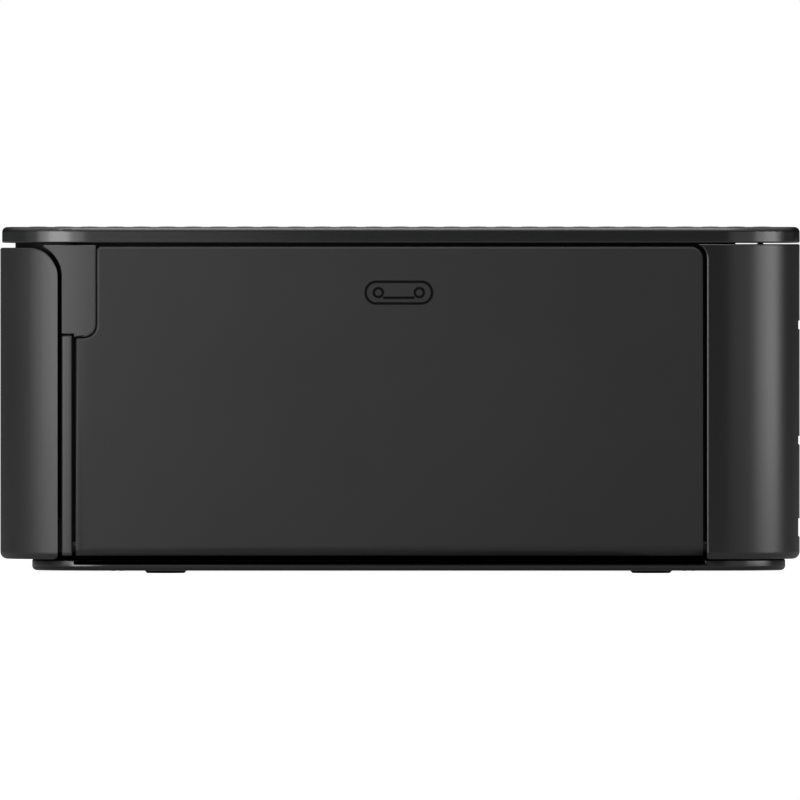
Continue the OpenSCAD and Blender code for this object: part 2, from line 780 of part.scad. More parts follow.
lever_r = 1.4;
lever_slot = [lever_stroke + 2 * lever_r + 0.6, 2 * lever_r + 0.6];
lever_at = [takeup[0] + housing_r + 5.5, spool_z - 2];
module ink_bay_frame() {
    color([0.15, 0.15, 0.16]) difference() {
        union() {
            side_plate(bay_x0, bay_x1) translate([bay_y0, floor_z + 1.2])
                square([bay_y1 - bay_y0, cover_z - floor_z - 1.2]);
            // Collar round the cassette
            side_plate(bay_x0 - 4, bay_x0 + EPS) difference() {
                cassette_outline(slide_gap + 1.2);
                cassette_outline(slide_gap);
            }
        }
        side_plate(bay_x0 - 5, bay_x1 + 1) cassette_outline(slide_gap);
        side_plate(bay_x0 - 1, bay_x1 + 1) {
            translate(lever_at) rotate(90) stadium(lever_slot[0], lever_slot[1]);
            for (i = [0:5]) translate([-2 + i * 6, 15]) rotate(90) stadium(9, 2.4);
        }
        // Room for the cover post beside the back corner
        translate([cover_posts[2][0], cover_posts[2][1], shell_top - cover_post_h - 1])
            cylinder(h = 30, r = cover_post_r + 0.4);
    }
}

module eject_lever() {
    y = lever_at[0];
    z = lever_at[1] - lever_stroke / 2;
    color([0.75, 0.42, 0.12]) {
        rod_x(bay_x0 - 1.7, bay_x1 + 0.3, [y, z], lever_r);
        box([bay_x0 - 1.7, y - 3, z - 4], [bay_x0 - 0.3, y + 3, z + 4]);
        translate([bay_x1 + 0.3, y, z]) rotate([90, 0, 90]) linear_extrude(1.6) rotate(90) stadium(7.6, 4.6);
    }
}

// ---- Top cover, display and keys ----

key_boards = [[cluster_x, 38, -43.5, 45.5], [power_at[0], 14, -36.5, 44.5]];
peg_r = 1.8;
window_step = 1.3;
window_rest = 3;
window_r = 3;

module cover_key_hole(at) {
    translate([at[0], at[1], cover_z - 1]) linear_extrude(top_t + 2) children();
}

module cover_peg(x, y) {
    translate([x, y, board_top]) cylinder(h = cover_z - board_top + EPS, r = peg_r);
}

module top_cover() {
    round_keys = [[power_at, key_r], [menu_at, key_r], [back_at, key_r], [print_at, print_key_r],
        [ring_at, ring_r]];
    color([0.23, 0.23, 0.24]) difference() {
        union() {
            translate([0, cover_step / 2, 0])
                soft_block(body_w, body_d - cover_step, corner_r, cover_z, body_h, seam_round, top_round);
            for (x = [cluster_x - 17, cluster_x + 17], y = [-41, 43]) cover_peg(x, y);
            for (y = [-34, 42]) cover_peg(power_at[0], y);
        }
        for (k = round_keys) cover_key_hole(k[0]) circle(r = k[1] + key_gap);
        for (p = [plus_at, minus_at]) cover_key_hole(p) stadium(pill_w + 2 * key_gap, pill_d + 2 * key_gap);
        cover_key_hole(lens_at) circle(r = lens_r + 0.1);
        translate([window_x, window_y, body_h - window_step])
            linear_extrude(2) rounded_rect(window_w, window_l, window_r);
        translate([window_x, window_y, cover_z - 1]) linear_extrude(4)
            rounded_rect(window_w - 2 * window_rest, window_l - 2 * window_rest, window_r - 1);
    }
}

module display_glass() {
    color([0.05, 0.05, 0.06]) translate([window_x, window_y, body_h - window_step])
        linear_extrude(window_step - key_low) rounded_rect(window_w - 0.2, window_l - 0.2, window_r - 0.1);
}

// Panel under the window, in a frame with four pegs
module display_module() {
    frame_z = cover_z - 3.2;
    panel = [window_w - 8, window_l - 8];
    rim = [window_w - 2, window_l - 2];
    color([0.5, 0.52, 0.55]) translate([window_x, window_y, frame_z]) {
        translate([-panel[0] / 2, -panel[1] / 2, 0])
            cube([panel[0], panel[1], body_h - window_step - frame_z]);
        translate([-rim[0] / 2, -rim[1] / 2, 0]) cube([rim[0], rim[1], 1]);
        for (sx = [-1, 1], sy = [-1, 1]) translate([sx * (rim[0] / 2 - 1.2), sy * (rim[1] / 2 - 1.2), 0])
            cylinder(h = cover_z - frame_z, r = 1.1);
    }
}

// Key: cap, retaining flange under the cover, and the stem above its switch
module key(at) {
    stem_z = board_top + switch_h + key_travel + 0.05;
    translate([at[0], at[1], 0]) {
        translate([0, 0, flange_z1]) linear_extrude(key_top - flange_z1) children(0);
        translate([0, 0, flange_z1 - flange_t]) linear_extrude(flange_t + EPS) children(1);
        translate([0, 0, stem_z]) cylinder(h = flange_z1 - stem_z, r = 1.3);
    }
}

module round_key(at, r) {
    dish = 40;
    difference() {
        key(at) {
            circle(r = r);
            circle(r = r + key_lip);
        }
        translate([at[0], at[1], key_top + dish - 0.25]) sphere(r = dish, $fn = 96);
    }
}

module pill_key(at) {
    key(at) {
        stadium(pill_w, pill_d);
        stadium(pill_w + 2 * pill_lip, pill_d + 2 * pill_lip);
    }
}

module power_key() { color([0.3, 0.3, 0.31]) round_key(power_at, key_r); }
module menu_key() { color([0.3, 0.3, 0.31]) round_key(menu_at, key_r); }
module back_key() { color([0.3, 0.3, 0.31]) round_key(back_at, key_r); }
module print_key() { color([0.3, 0.3, 0.31]) round_key(print_at, print_key_r); }
module ok_key() { color([0.3, 0.3, 0.31]) round_key(ring_at, ok_r); }
module plus_key() { color([0.3, 0.3, 0.31]) pill_key(plus_at); }
module minus_key() { color([0.3, 0.3, 0.31]) pill_key(minus_at); }

ring_in = ok_r + 1.3;
module four_way_ring() {
    lip_z = flange_z1 + 0.6;
    dish = 10;
    color([0.26, 0.26, 0.27]) translate([ring_at[0], ring_at[1], 0]) rotate_extrude($fn = 72) difference() {
        union() {
            translate([ring_in, flange_z1]) square([ring_r - ring_in, key_top - flange_z1]);
            translate([ring_in, flange_z1 - flange_t]) square([ring_r + key_lip - ring_in, flange_t + EPS]);
            // Lip over the middle key's flange
            translate([ok_r + key_gap, lip_z]) square([ring_in - ok_r - key_gap + EPS, key_top - lip_z]);
        }
        translate([(ring_r + ring_in) / 2, key_top + dish - 0.4]) circle(r = dish, $fn = 96);
        corner_cut([ring_r, key_top], 0.4, [1, 1]);
    }
}

module ring_washer() {
    color([0.8, 0.8, 0.78]) translate([ring_at[0], ring_at[1], flange_z1 - flange_t - 0.6])
        linear_extrude(0.4) difference() {
            circle(r = ring_r - 1.5);
            circle(r = ring_in);
        }
}

// Board under a group of keys: b is its middle, its width and its two ends
module switch_board(b) {
    color([0.1, 0.35, 0.2])
        box([b[0] - b[1] / 2, b[2], board_top - board_t], [b[0] + b[1] / 2, b[3], board_top]);
}

module key_board() { switch_board(key_boards[0]); }
module power_key_board() { switch_board(key_boards[1]); }

module tact_switches() {
    ring_pads = [for (a = [0:90:270]) toward(ring_at, (ring_r + ok_r) / 2 + 0.6, a)];
    key_places = [power_at, menu_at, back_at, print_at, plus_at, minus_at, ring_at];
    color([0.75, 0.75, 0.72]) for (p = concat(key_places, ring_pads))
        translate([p[0], p[1], board_top + switch_h / 2]) cube([3.4, 3.4, switch_h], center = true);
}

module status_lens() {
    color([0.8, 0.9, 1.0]) translate([lens_at[0], lens_at[1], board_top])
        cylinder(h = body_h - board_top, r = lens_r);
}

// ---- Chassis ----

roller_axes = [platen, capstan, pickup];
bush_r = 4;

module chassis_pan() {
    color([0.72, 0.73, 0.75]) difference() {
        box([chassis_x0 - plate_t, front + 9.2, pan_z0], [chassis_x1 + plate_t, back - wall - 4, pan_z1]);
        for (i = [0:4]) translate([chassis_x0 + 20 + i * 18, back - 34.5, pan_z0 - 1]) cylinder(h = 4, r = 4);
    }
}

// Side plate outline: bores for the bushes and shafts are cut by the caller
module plate_outline(open_top) {
    difference() {
        translate([front + 14.5, pan_z1]) square([back - 6 - front - 14.5, plate_top - pan_z1]);
        for (p = roller_axes) translate(p) circle(r = bush_r);
        translate(pinch) circle(r = 1.2 + run_gap);
        translate(head_axis) circle(r = head_rod_r);
        corner_cut([front + 14.5, plate_top], 8, [-1, 1]);
        if (open_top) translate([supply[0] - housing_r - 0.7, cassette_z0 - 0.7])
            square([takeup[0] - supply[0] + 2 * housing_r + 1.4, 40]);
    }
}

module chassis_left() {
    color([0.72, 0.73, 0.75]) side_plate(chassis_x0 - plate_t, chassis_x0) difference() {
        plate_outline(false);
        translate(takeup) circle(r = 1.5 + run_gap);
        translate(supply) circle(r = 1.5);
        for (p = [reducer, pickup_reducer]) translate(p) circle(r = 1.2);
    }
}

module chassis_right() {
    color([0.72, 0.73, 0.75]) side_plate(chassis_x1, chassis_x1 + plate_t) plate_outline(true);
}

gearbox_y0 = front + 10.5;
gearbox_y1 = back - 15.5;
gearbox_z0 = main_z1 - 0.6;
gearbox_z1 = 46.8;
gearbox_posts = [[gearbox_y0 + 5, gearbox_z1 - 3.3], [platen[0] - 22, gearbox_z0 + 3.2],
    [platen[0] - 5, gearbox_z1 - 3.8], [gearbox_y1 - 3.5, gearbox_z1 - 4.3]];
module gearbox_plate() {
    color([0.66, 0.67, 0.7]) {
        difference() {
            side_plate(box_x0, box_x1) difference() {
                translate([gearbox_y0, gearbox_z0])
                    square([gearbox_y1 - gearbox_y0, gearbox_z1 - gearbox_z0]);
                translate(pinion) circle(r = 4.4);
                translate(pickup_pinion) circle(r = 4.4);
                corner_cut([gearbox_y0, gearbox_z1], 4, [-1, 1]);
                corner_cut([gearbox_y1, gearbox_z1], 4, [1, 1]);
            }
            for (p = [reducer, pickup_reducer]) rod_x(box_x0 - 1, box_x1 + 1, p, 1.2);
        }
        for (p = gearbox_posts) rod_x(box_x1 - EPS, chassis_x0 - plate_t, p, 2.2);
        for (p = [reducer, pickup_reducer]) rod_x(box_x0, chassis_x0 - 0.2, p, 1.2);
    }
}

module roller_bushes() {
    color([0.9, 0.88, 0.8]) for (p = roller_axes, s = [0, 1]) difference() {
        union() {
            rod_x(s ? chassis_x1 : chassis_x0 - plate_t, s ? chassis_x1 + plate_t : chassis_x0, p, bush_r);
            rod_x(s ? chassis_x1 + plate_t : chassis_x0 - plate_t - bush_flange,
                s ? chassis_x1 + plate_t + bush_flange : chassis_x0 - plate_t, p, bush_r + 0.9);
        }
        rod_x(-right, right, p, shaft_r + run_gap);
    }
}

module feed_guide() {
    guide_y0 = platen[0] - 34;
    color([0.14, 0.14, 0.15]) {
        side_plate(chassis_x0 + 0.2, chassis_x1 - 0.2) difference() {
            union() {
                translate([guide_y0, pan_z1]) square([1.6, path_z - 2.2 - pan_z1]);
                translate([guide_y0, path_z - 3.2]) square([platen[0] - platen_r - 0.6 - guide_y0, 1.6]);
                corner_fill([guide_y0 + 1.6, path_z - 3.2], 3, [1, -1]);
            }
            corner_cut([guide_y0, path_z - 1.6], 1.5, [-1, 1]);
        }
        for (i = [-5:5]) side_plate(path_x + i * 9.4 - 0.5, path_x + i * 9.4 + 0.5)
            translate([guide_y0 + 3, path_z - 1.8]) square([platen[0] - platen_r - 3.6 - guide_y0, 1]);
    }
}

module exit_guides() {
    bridge = [platen[0] + platen_r + 0.6, capstan[0] - capstan_r - 0.6];
    outlet = [capstan[0] + capstan_r + 0.6, back - wall - 0.2];
    color([0.14, 0.14, 0.15]) for (y = [bridge, outlet]) {
        side_plate(chassis_x0 + 0.2, chassis_x1 - 0.2)
            translate([y[0], path_z - 3.2]) square([y[1] - y[0], 1.6]);
        for (i = [-5:5]) side_plate(path_x + i * 9.4 - 0.5, path_x + i * 9.4 + 0.5)
            translate([y[0] + 1, path_z - 1.8]) square([y[1] - y[0] - 2, 1]);
    }
}

// ---- Rollers ----

shaft_left = chassis_x0 - plate_t - bush_flange - 0.3;
shaft_right = chassis_x1 + plate_t + bush_flange + 0.6;

module platen_shaft() {
    color("silver") rod_x(shaft_left, shaft_right, platen, shaft_r);
}

module platen_rubber() {
    color([0.12, 0.12, 0.12]) difference() {
        rod_x(path_x - paper_w / 2 - 2, path_x + paper_w / 2 + 2, platen, platen_r);
        rod_x(-right, right, platen, shaft_r);
    }
}

module capstan_roller() {
    color("silver") {
        rod_x(gear_x0 - 0.5, shaft_right, capstan, shaft_r);
        rod_x(path_x - paper_w / 2 - 1, path_x + paper_w / 2 + 1, capstan, capstan_r);
    }
}

module capstan_gear() {
    color([0.92, 0.92, 0.9]) gear(gear_x0, gear_x1, capstan, capstan_teeth, 0, shaft_r);
}

module pinch_roller() {
    color([0.75, 0.75, 0.77]) {
        rod_x(chassis_x0 - plate_t, chassis_x1 + plate_t, pinch, 1.2);
        rod_x(path_x - paper_w / 2 - 1, path_x + paper_w / 2 + 1, pinch, pinch_r);
    }
}

module pickup_shaft() {
    color("silver") rod_x(gear_x0 - 0.5, shaft_right, pickup, shaft_r);
}

module pickup_tyres() {
    color([0.15, 0.15, 0.15]) for (s = [-1, 1]) difference() {
        rod_x(path_x + s * 20 - 7, path_x + s * 20 + 7, pickup, pickup_r);
        rod_x(-right, right, pickup, shaft_r);
    }
}

module pickup_gear() {
    color([0.92, 0.92, 0.9]) gear(gear_x0, gear_x1, pickup, pickup_teeth, 0, shaft_r);
}

// ---- Thermal head ----

arm_x0 = path_x - head_half_l + 3;
arm_x1 = path_x + head_half_l - 3;
head_y = platen[0] - 0.3;

module head_arm() {
    color([0.6, 0.62, 0.64]) difference() {
        union() {
            box([arm_x0, head_y - 7, sink_top], [arm_x1, head_axis[0] - 1, sink_top + arm_t]);
            box([arm_x0, head_axis[0] - 2, head_axis[1] + 4], [arm_x1, head_axis[0] - 1, sink_top + arm_t]);
            for (x = [arm_x0, arm_x1 - 1.2]) side_plate(x, x + 1.2) {
                translate(head_axis) circle(r = 3.4);
                translate([head_axis[0] - 3.4, head_axis[1]]) square([4, sink_top + arm_t - head_axis[1]]);
            }
        }
        rod_x(-right, right, head_axis, head_rod_r + run_gap);
    }
}

module head_pivot_rod() {
    color("silver") rod_x(chassis_x0 - plate_t, chassis_x1 + plate_t, head_axis, head_rod_r);
}

module head_heatsink() {
    color([0.7, 0.71, 0.73]) side_plate(path_x - head_half_l, path_x + head_half_l) {
        translate([head_y - 7, head_z + 1.2]) square([14, 3]);
        for (i = [-2:2]) translate([head_y + i * 3.1 - 0.6, head_z + 4]) square([1.2, sink_top - head_z - 4]);
        translate([head_y - 7, sink_top - 1.6]) square([14, 1.6]);
    }
}

module thermal_head() {
    color([0.9, 0.86, 0.78]) side_plate(path_x - head_half_l, path_x + head_half_l) {
        translate([head_y - 5, head_z + 0.4]) square([10, 0.8]);
        translate([head_y, head_z + 0.5]) circle(r = 0.5);
    }
}

// ---- Ink cassette ----

ribbon_z = cassette_z0 + 0.6;
film = 0.12;
film_gap = 0.1;
lip_r = 0.7;
supply_lip = [supply[0] + 6.7, ribbon_z];
takeup_lip = [takeup[0] - 7.3, ribbon_z];

// Where the film that comes from p meets the underside of a roll
function roll_tangent(c, r, p) =
    let (s = p[0] > c[0] ? 1 : -1, d = norm(c - p), a = atan2(c[1] - p[1], c[0] - p[0]) + s * asin(r / d))
    p + sqrt(d * d - r * r) * [cos(a), sin(a)];

module ribbon_slit(c, lip, roll_r) {
    t = roll_tangent(c, roll_r + film_gap, lip);
    side_plate(window_x0, window_x1) intersection() {
        difference() {
            translate(c) circle(r = housing_r + 1);
            translate(c) circle(r = housing_in - 0.4);
        }
        polygon([t + [0, -0.9], t + [0, 1.4], lip + [0, 1.4], lip + [0, -0.9]]);
    }
}

// Bar that bends the film away from a housing
module ribbon_lip(lip) {
    at = lip + [0, lip_r + film_gap];
    side_plate(window_x0 - EPS, window_x1 + EPS) {
        translate(at) circle(r = lip_r);
        translate([at[0] - 0.4, at[1]]) square([0.8, 2.2]);
    }
}

module cassette_shell() {
    color([0.3, 0.31, 0.33]) difference() {
        union() {
            for (lip = [supply_lip, takeup_lip]) ribbon_lip(lip);
            side_plate(cassette_x0, cassette_x1 - cassette_end + EPS) for (c = [supply, takeup])
                translate(c) circle(r = housing_r, $fn = 64);
            side_plate(cassette_x1 - cassette_end, cassette_x1) cassette_outline();
            for (x = [[cassette_x0, window_x0], [window_x1, cassette_x1 - cassette_end + EPS]])
                box([x[0], supply[0], cassette_z0], [x[1], takeup[0], cassette_z0 + 2]);
        }
        for (c = [supply, takeup]) {
            rod_x(cassette_x0 + 1.4, cassette_x1 - cassette_end, c, housing_in);
            rod_x(cassette_x0 - 1, cassette_x0 + 2, c, journal_r + 0.2);
            rod_x(cassette_x1 - cassette_end - 1, cassette_x1 - 2, c, journal_r + 0.2);
        }
        // Slits that the ribbon leaves and enters by
        for (s = [[supply, supply_lip, supply_roll_r], [takeup, takeup_lip, takeup_roll_r]])
            ribbon_slit(s[0], s[1], s[2]);
        // Finger recess in the end
        translate([cassette_x1 - 3, (supply[0] + takeup[0]) / 2, spool_z]) rotate([90, 0, 90])
            linear_extrude(10) rounded_rect(15, 14, 3);
    }
}

module spool(at, roll_r) {
    difference() {
        union() {
            rod_x(cassette_x0 + 1.9, cassette_x1 - cassette_end - 0.5, at, core_r);
            rod_x(cassette_x0 + 0.2, cassette_x1 - 2.4, at, journal_r);
            rod_x(path_x - paper_w / 2 - 2, path_x + paper_w / 2 + 2, at, roll_r);
        }
        rod_x(cassette_x0 - 1, cassette_x0 + 10, at, spool_bore);
    }
}

module supply_spool() { color([0.1, 0.1, 0.11]) spool(supply, supply_roll_r); }
module takeup_spool() { color([0.14, 0.14, 0.15]) spool(takeup, takeup_roll_r); }

// Span of film from roll to roll, bowed down under the head
module ink_ribbon() {
    low = path_z + paper_t + 0.15;
    bow = 5;
    path = [roll_tangent(supply, supply_roll_r + film_gap + film, supply_lip), supply_lip,
        [supply_lip[0] + bow, low], [takeup_lip[0] - bow, low], takeup_lip,
        roll_tangent(takeup, takeup_roll_r + film_gap + film, takeup_lip)];
    up = [0, film];
    n = len(path);
    color([0.85, 0.7, 0.1]) side_plate(path_x - paper_w / 2, path_x + paper_w / 2)
        polygon([for (p = path) p, for (i = [n - 1:-1:0]) path[i] - up]);
}

module supply_stub() {
    color("silver") {
        rod_x(chassis_x0 - plate_t - 0.8, chassis_x0 + EPS, supply, 1.5);
        rod_x(chassis_x0, cassette_x0 + 8, supply, spool_bore - 0.15);
    }
}

module takeup_spindle() {
    color("silver") {
        rod_x(gear_x0 - 0.5, chassis_x0 + 0.3, takeup, 1.5);
        rod_x(chassis_x0 + 0.3 - EPS, cassette_x0 + 8, takeup, spool_bore - 0.15);
    }
    color([0.92, 0.92, 0.9]) gear(gear_x0, gear_x1, takeup, takeup_teeth, takeup_turn, 0);
}

// ---- Drive ----

motor_len = box_x0 + right - wall - 7.2;
motor_a_r = 11;
motor_b_r = 10;

module drive_motors() {
    color([0.78, 0.79, 0.8]) for (m = [[pinion, motor_a_r], [pickup_pinion, motor_b_r]]) difference() {
        union() {
            rod_x(box_x0 - motor_len, box_x0, m[0], m[1]);
            rod_x(box_x0 - EPS, box_x1 - 0.2, m[0], 3.6);
            rod_x(box_x0 - motor_len - 1.6, box_x0 - motor_len + EPS, m[0], 3.6);
        }
        rod_x(box_x0 - motor_len - 2, box_x1 + 1, m[0], 1);
    }
}

// Pinion on its motor shaft, which turns inside the can
module motor_pinion(at, turn) {
    color([0.85, 0.75, 0.45]) gear(gear2_x0, gear2_x1, at, pinion_teeth, turn, 0);
    color("silver") rod_x(box_x0 - motor_len - 1.4, gear2_x0 + EPS, at, 1 - run_gap);
}

module capstan_pinion() { motor_pinion(pinion, pinion_turn); }
module pickup_pinion_node() { motor_pinion(pickup_pinion, pickup_pinion_turn); }

// Compound gear: the large wheel meets the motor, the small one the roller
module reducer_gear(at, small_teeth, turn) {
    color([0.92, 0.92, 0.9]) difference() {
        union() {
            gear(gear2_x0, gear2_x1, at, big_teeth, turn, 0);
            gear(gear2_x1 - EPS, gear_x1, at, small_teeth, turn, 0);
        }
        rod_x(gear2_x0 - 1, gear_x1 + 1, at, 1.2 + run_gap);
        for (a = [0:60:300]) {
            hole = toward(at, 7.6, a);
            rod_x(gear2_x0 - 1, gear2_x1 + 0.5, hole, 1.8);
        }
    }
}

module capstan_reducer() { reducer_gear(reducer, reducer_teeth, reducer_turn); }
module pickup_reducer_node() { reducer_gear(pickup_reducer, pickup_reducer_teeth, pickup_reducer_turn); }

// ---- Fan ----

// Frame, four struts that carry the hub's seat, and the rotor's axle
module cooling_fan() {
    half = fan_size / 2;
    strut_z = fan_t - 1.2;
    color([0.12, 0.12, 0.13]) translate([fan_x, fan_y1, fan_z]) rotate([90, 0, 0]) {
        linear_extrude(fan_t) difference() {
            rounded_rect(fan_size, fan_size, 2.5);
            circle(r = half - 1);
            for (sx = [-1, 1], sy = [-1, 1])
                translate([sx * (half - 2.6), sy * (half - 2.6)]) circle(r = 1.2);
        }
        translate([0, 0, strut_z]) linear_extrude(1) {
            circle(r = 5.5);
            for (a = [0:90:270]) rotate(a) translate([0, -0.8]) square([half - 0.4, 1.6]);
        }
        translate([0, 0, 1.4]) cylinder(h = strut_z - 1.2, r = 1);
    }
}

module fan_rotor() {
    blades = 7;
    blade_w = fan_t - 3.2;
    color([0.16, 0.16, 0.17]) translate([fan_x, fan_y1, fan_z]) rotate([90, 0, 0]) difference() {
        union() {
            translate([0, 0, 0.6]) cylinder(h = fan_t - 2, r = 5.6);
            for (i = [0:blades - 1]) rotate(i * 360 / blades)
                translate([5, 0, fan_t / 2 - 0.4]) rotate([38, 0, 0])
                    translate([0, -0.45, -blade_w / 2]) cube([fan_size / 2 - 1.6 - 5, 0.9, blade_w]);
        }
        translate([0, 0, 1.2]) cylinder(h = fan_t, r = 1 + run_gap);
    }
}

// ---- Main board ----

module board_plate() {
    edge = 5;
    intersection() {
        union() {
            box([main_x0, front + 6.4, main_z0], [main_x1, back, main_z1]);
            box([main_x0, fan_y1 - fan_t, main_z0], [usb_x + 6.5, back, main_z1]);
        }
        rounded_block(body_w - 2 * edge, body_d - 2 * edge, corner_r - edge, main_z0, main_z1);
    }
}

module card_reader() {
    x0 = card_x - card_w / 2;
    x1 = card_x + card_w / 2;
    difference() {
        box([x0 - 0.8, card_y0, main_z1 - EPS], [x1 + 0.8, card_y0 + 26, main_z1 + 3.4]);
        box([x0 + 0.2, card_y0 - 1, main_z1 + 0.5], [x1 - 0.2, card_y0 + 24, main_z1 + 2.7]);
    }
}

module dc_socket() {
    face = back - wall - 0.3;
    difference() {
        box([dc_x - 4.5, face - 13.2, main_z1 - EPS], [dc_x + 4.5, face, main_z1 + 8.6]);
        rod_y(face - 9.7, back, [dc_x, dc_z], dc_r);
    }
}

module usb_socket() {
    translate([usb_x, back - wall - 0.3, usb_z]) rotate([90, 0, 0]) difference() {
        linear_extrude(7.5) {
            stadium(usb_w + 0.6, usb_h + 0.6);
            translate([-3, main_z1 - usb_z - 0.05]) square([6, 1]);
        }
        translate([0, 0, -EPS]) linear_extrude(6.7) stadium(usb_w, usb_h);
    }
}

module main_board() {
    chips = [[8, -14, 10], [8, 6, 7], [18, 8, 5]];
    color([0.08, 0.3, 0.18]) board_plate();
    color([0.75, 0.75, 0.77]) {
        card_reader();
        usb_socket();
    }
    color([0.1, 0.1, 0.1]) {
        dc_socket();
        for (p = chips) box([main_x0 + p[0], p[1], main_z1 - EPS],
            [main_x0 + p[0] + p[2], p[1] + p[2], main_z1 + 1.2]);
    }
}

base_tray();
rubber_feet();
case_shell();
front_frame();
front_pillar();
front_flap();
flap_hinge_pins();
ink_door();
ink_door_pins();
ink_bay_frame();
top_cover();
display_glass();
display_module();
power_key();
menu_key();
plus_key();
minus_key();
back_key();
print_key();
ok_key();
four_way_ring();
ring_washer();
key_board();
power_key_board();
tact_switches();
status_lens();
chassis_pan();
chassis_left();
chassis_right();
gearbox_plate();
roller_bushes();
feed_guide();
exit_guides();
platen_shaft();
platen_rubber();
capstan_roller();
capstan_gear();
pinch_roller();
pickup_shaft();
pickup_tyres();
pickup_gear();
head_arm();
head_pivot_rod();
thermal_head();
head_heatsink();
cassette_shell();
supply_spool();
takeup_spool();
ink_ribbon();
supply_stub();
takeup_spindle();
eject_lever();
drive_motors();
capstan_reducer();
capstan_pinion();
pickup_reducer_node();  // pickup_reducer
pickup_pinion_node();  // pickup_pinion
cooling_fan();
fan_rotor();
main_board();
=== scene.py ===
"""Looks of the compact photo printer: finishes, surface detail, studio and camera.

Lengths are in millimetres until a mesh is made, where MM turns them into metres. The axes are the
frame's own: X towards the ink door, Y towards the back, Z up, with the origin on the table.
"""

import json

import bpy
import numpy as np
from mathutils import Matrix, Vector

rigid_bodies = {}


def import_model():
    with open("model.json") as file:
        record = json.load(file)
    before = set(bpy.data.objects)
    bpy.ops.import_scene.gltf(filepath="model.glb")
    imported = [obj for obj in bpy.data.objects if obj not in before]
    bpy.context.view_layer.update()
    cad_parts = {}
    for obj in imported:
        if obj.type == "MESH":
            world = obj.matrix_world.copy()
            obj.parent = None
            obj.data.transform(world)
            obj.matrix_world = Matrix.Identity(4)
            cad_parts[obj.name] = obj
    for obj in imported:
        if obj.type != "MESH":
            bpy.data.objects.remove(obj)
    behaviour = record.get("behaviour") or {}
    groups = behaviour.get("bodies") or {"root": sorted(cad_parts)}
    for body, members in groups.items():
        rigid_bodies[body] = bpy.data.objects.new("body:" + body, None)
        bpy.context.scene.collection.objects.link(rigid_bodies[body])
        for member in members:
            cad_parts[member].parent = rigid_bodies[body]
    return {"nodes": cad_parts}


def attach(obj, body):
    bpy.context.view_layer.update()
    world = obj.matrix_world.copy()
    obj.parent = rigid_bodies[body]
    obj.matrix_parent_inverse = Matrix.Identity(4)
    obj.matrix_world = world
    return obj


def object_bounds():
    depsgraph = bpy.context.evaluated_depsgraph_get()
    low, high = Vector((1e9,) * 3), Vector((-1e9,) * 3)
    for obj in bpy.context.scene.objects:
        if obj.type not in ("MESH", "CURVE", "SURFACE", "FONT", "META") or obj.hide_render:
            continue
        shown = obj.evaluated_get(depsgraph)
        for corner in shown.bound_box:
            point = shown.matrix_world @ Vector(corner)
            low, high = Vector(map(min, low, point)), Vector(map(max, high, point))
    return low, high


for leftover in list(bpy.data.objects):
    bpy.data.objects.remove(leftover, do_unlink=True)
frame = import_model()
cad_box = [list(corner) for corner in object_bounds()]

MM = 0.001
NODES = frame["nodes"]
RIGHT = cad_box[1][0] / MM
BACK = cad_box[1][1] / MM
TOP = cad_box[1][2] / MM


def extent(node):
    """Lowest and highest corner of a CAD node, in millimetres."""
    mesh = NODES[node].data
    points = np.empty(3 * len(mesh.vertices))
    mesh.vertices.foreach_get("co", points)
    points = points.reshape(-1, 3) / MM
    return points.min(0), points.max(0)


def middle(node):
    """Middle of a CAD node's box, in millimetres."""
    low, high = extent(node)
    return (low + high) / 2


# ---- Node trees ----

def add_node(tree, kind, inputs=None, **settings):
    """Adds a node with its settings; an input is a value, or the socket that feeds it."""
    node = tree.nodes.new(kind)
    for key, value in settings.items():
        setattr(node, key, value)
    for key, value in (inputs or {}).items():
        if isinstance(value, bpy.types.NodeSocket):
            tree.links.new(value, node.inputs[key])
        else:
            node.inputs[key].default_value = value
    return node


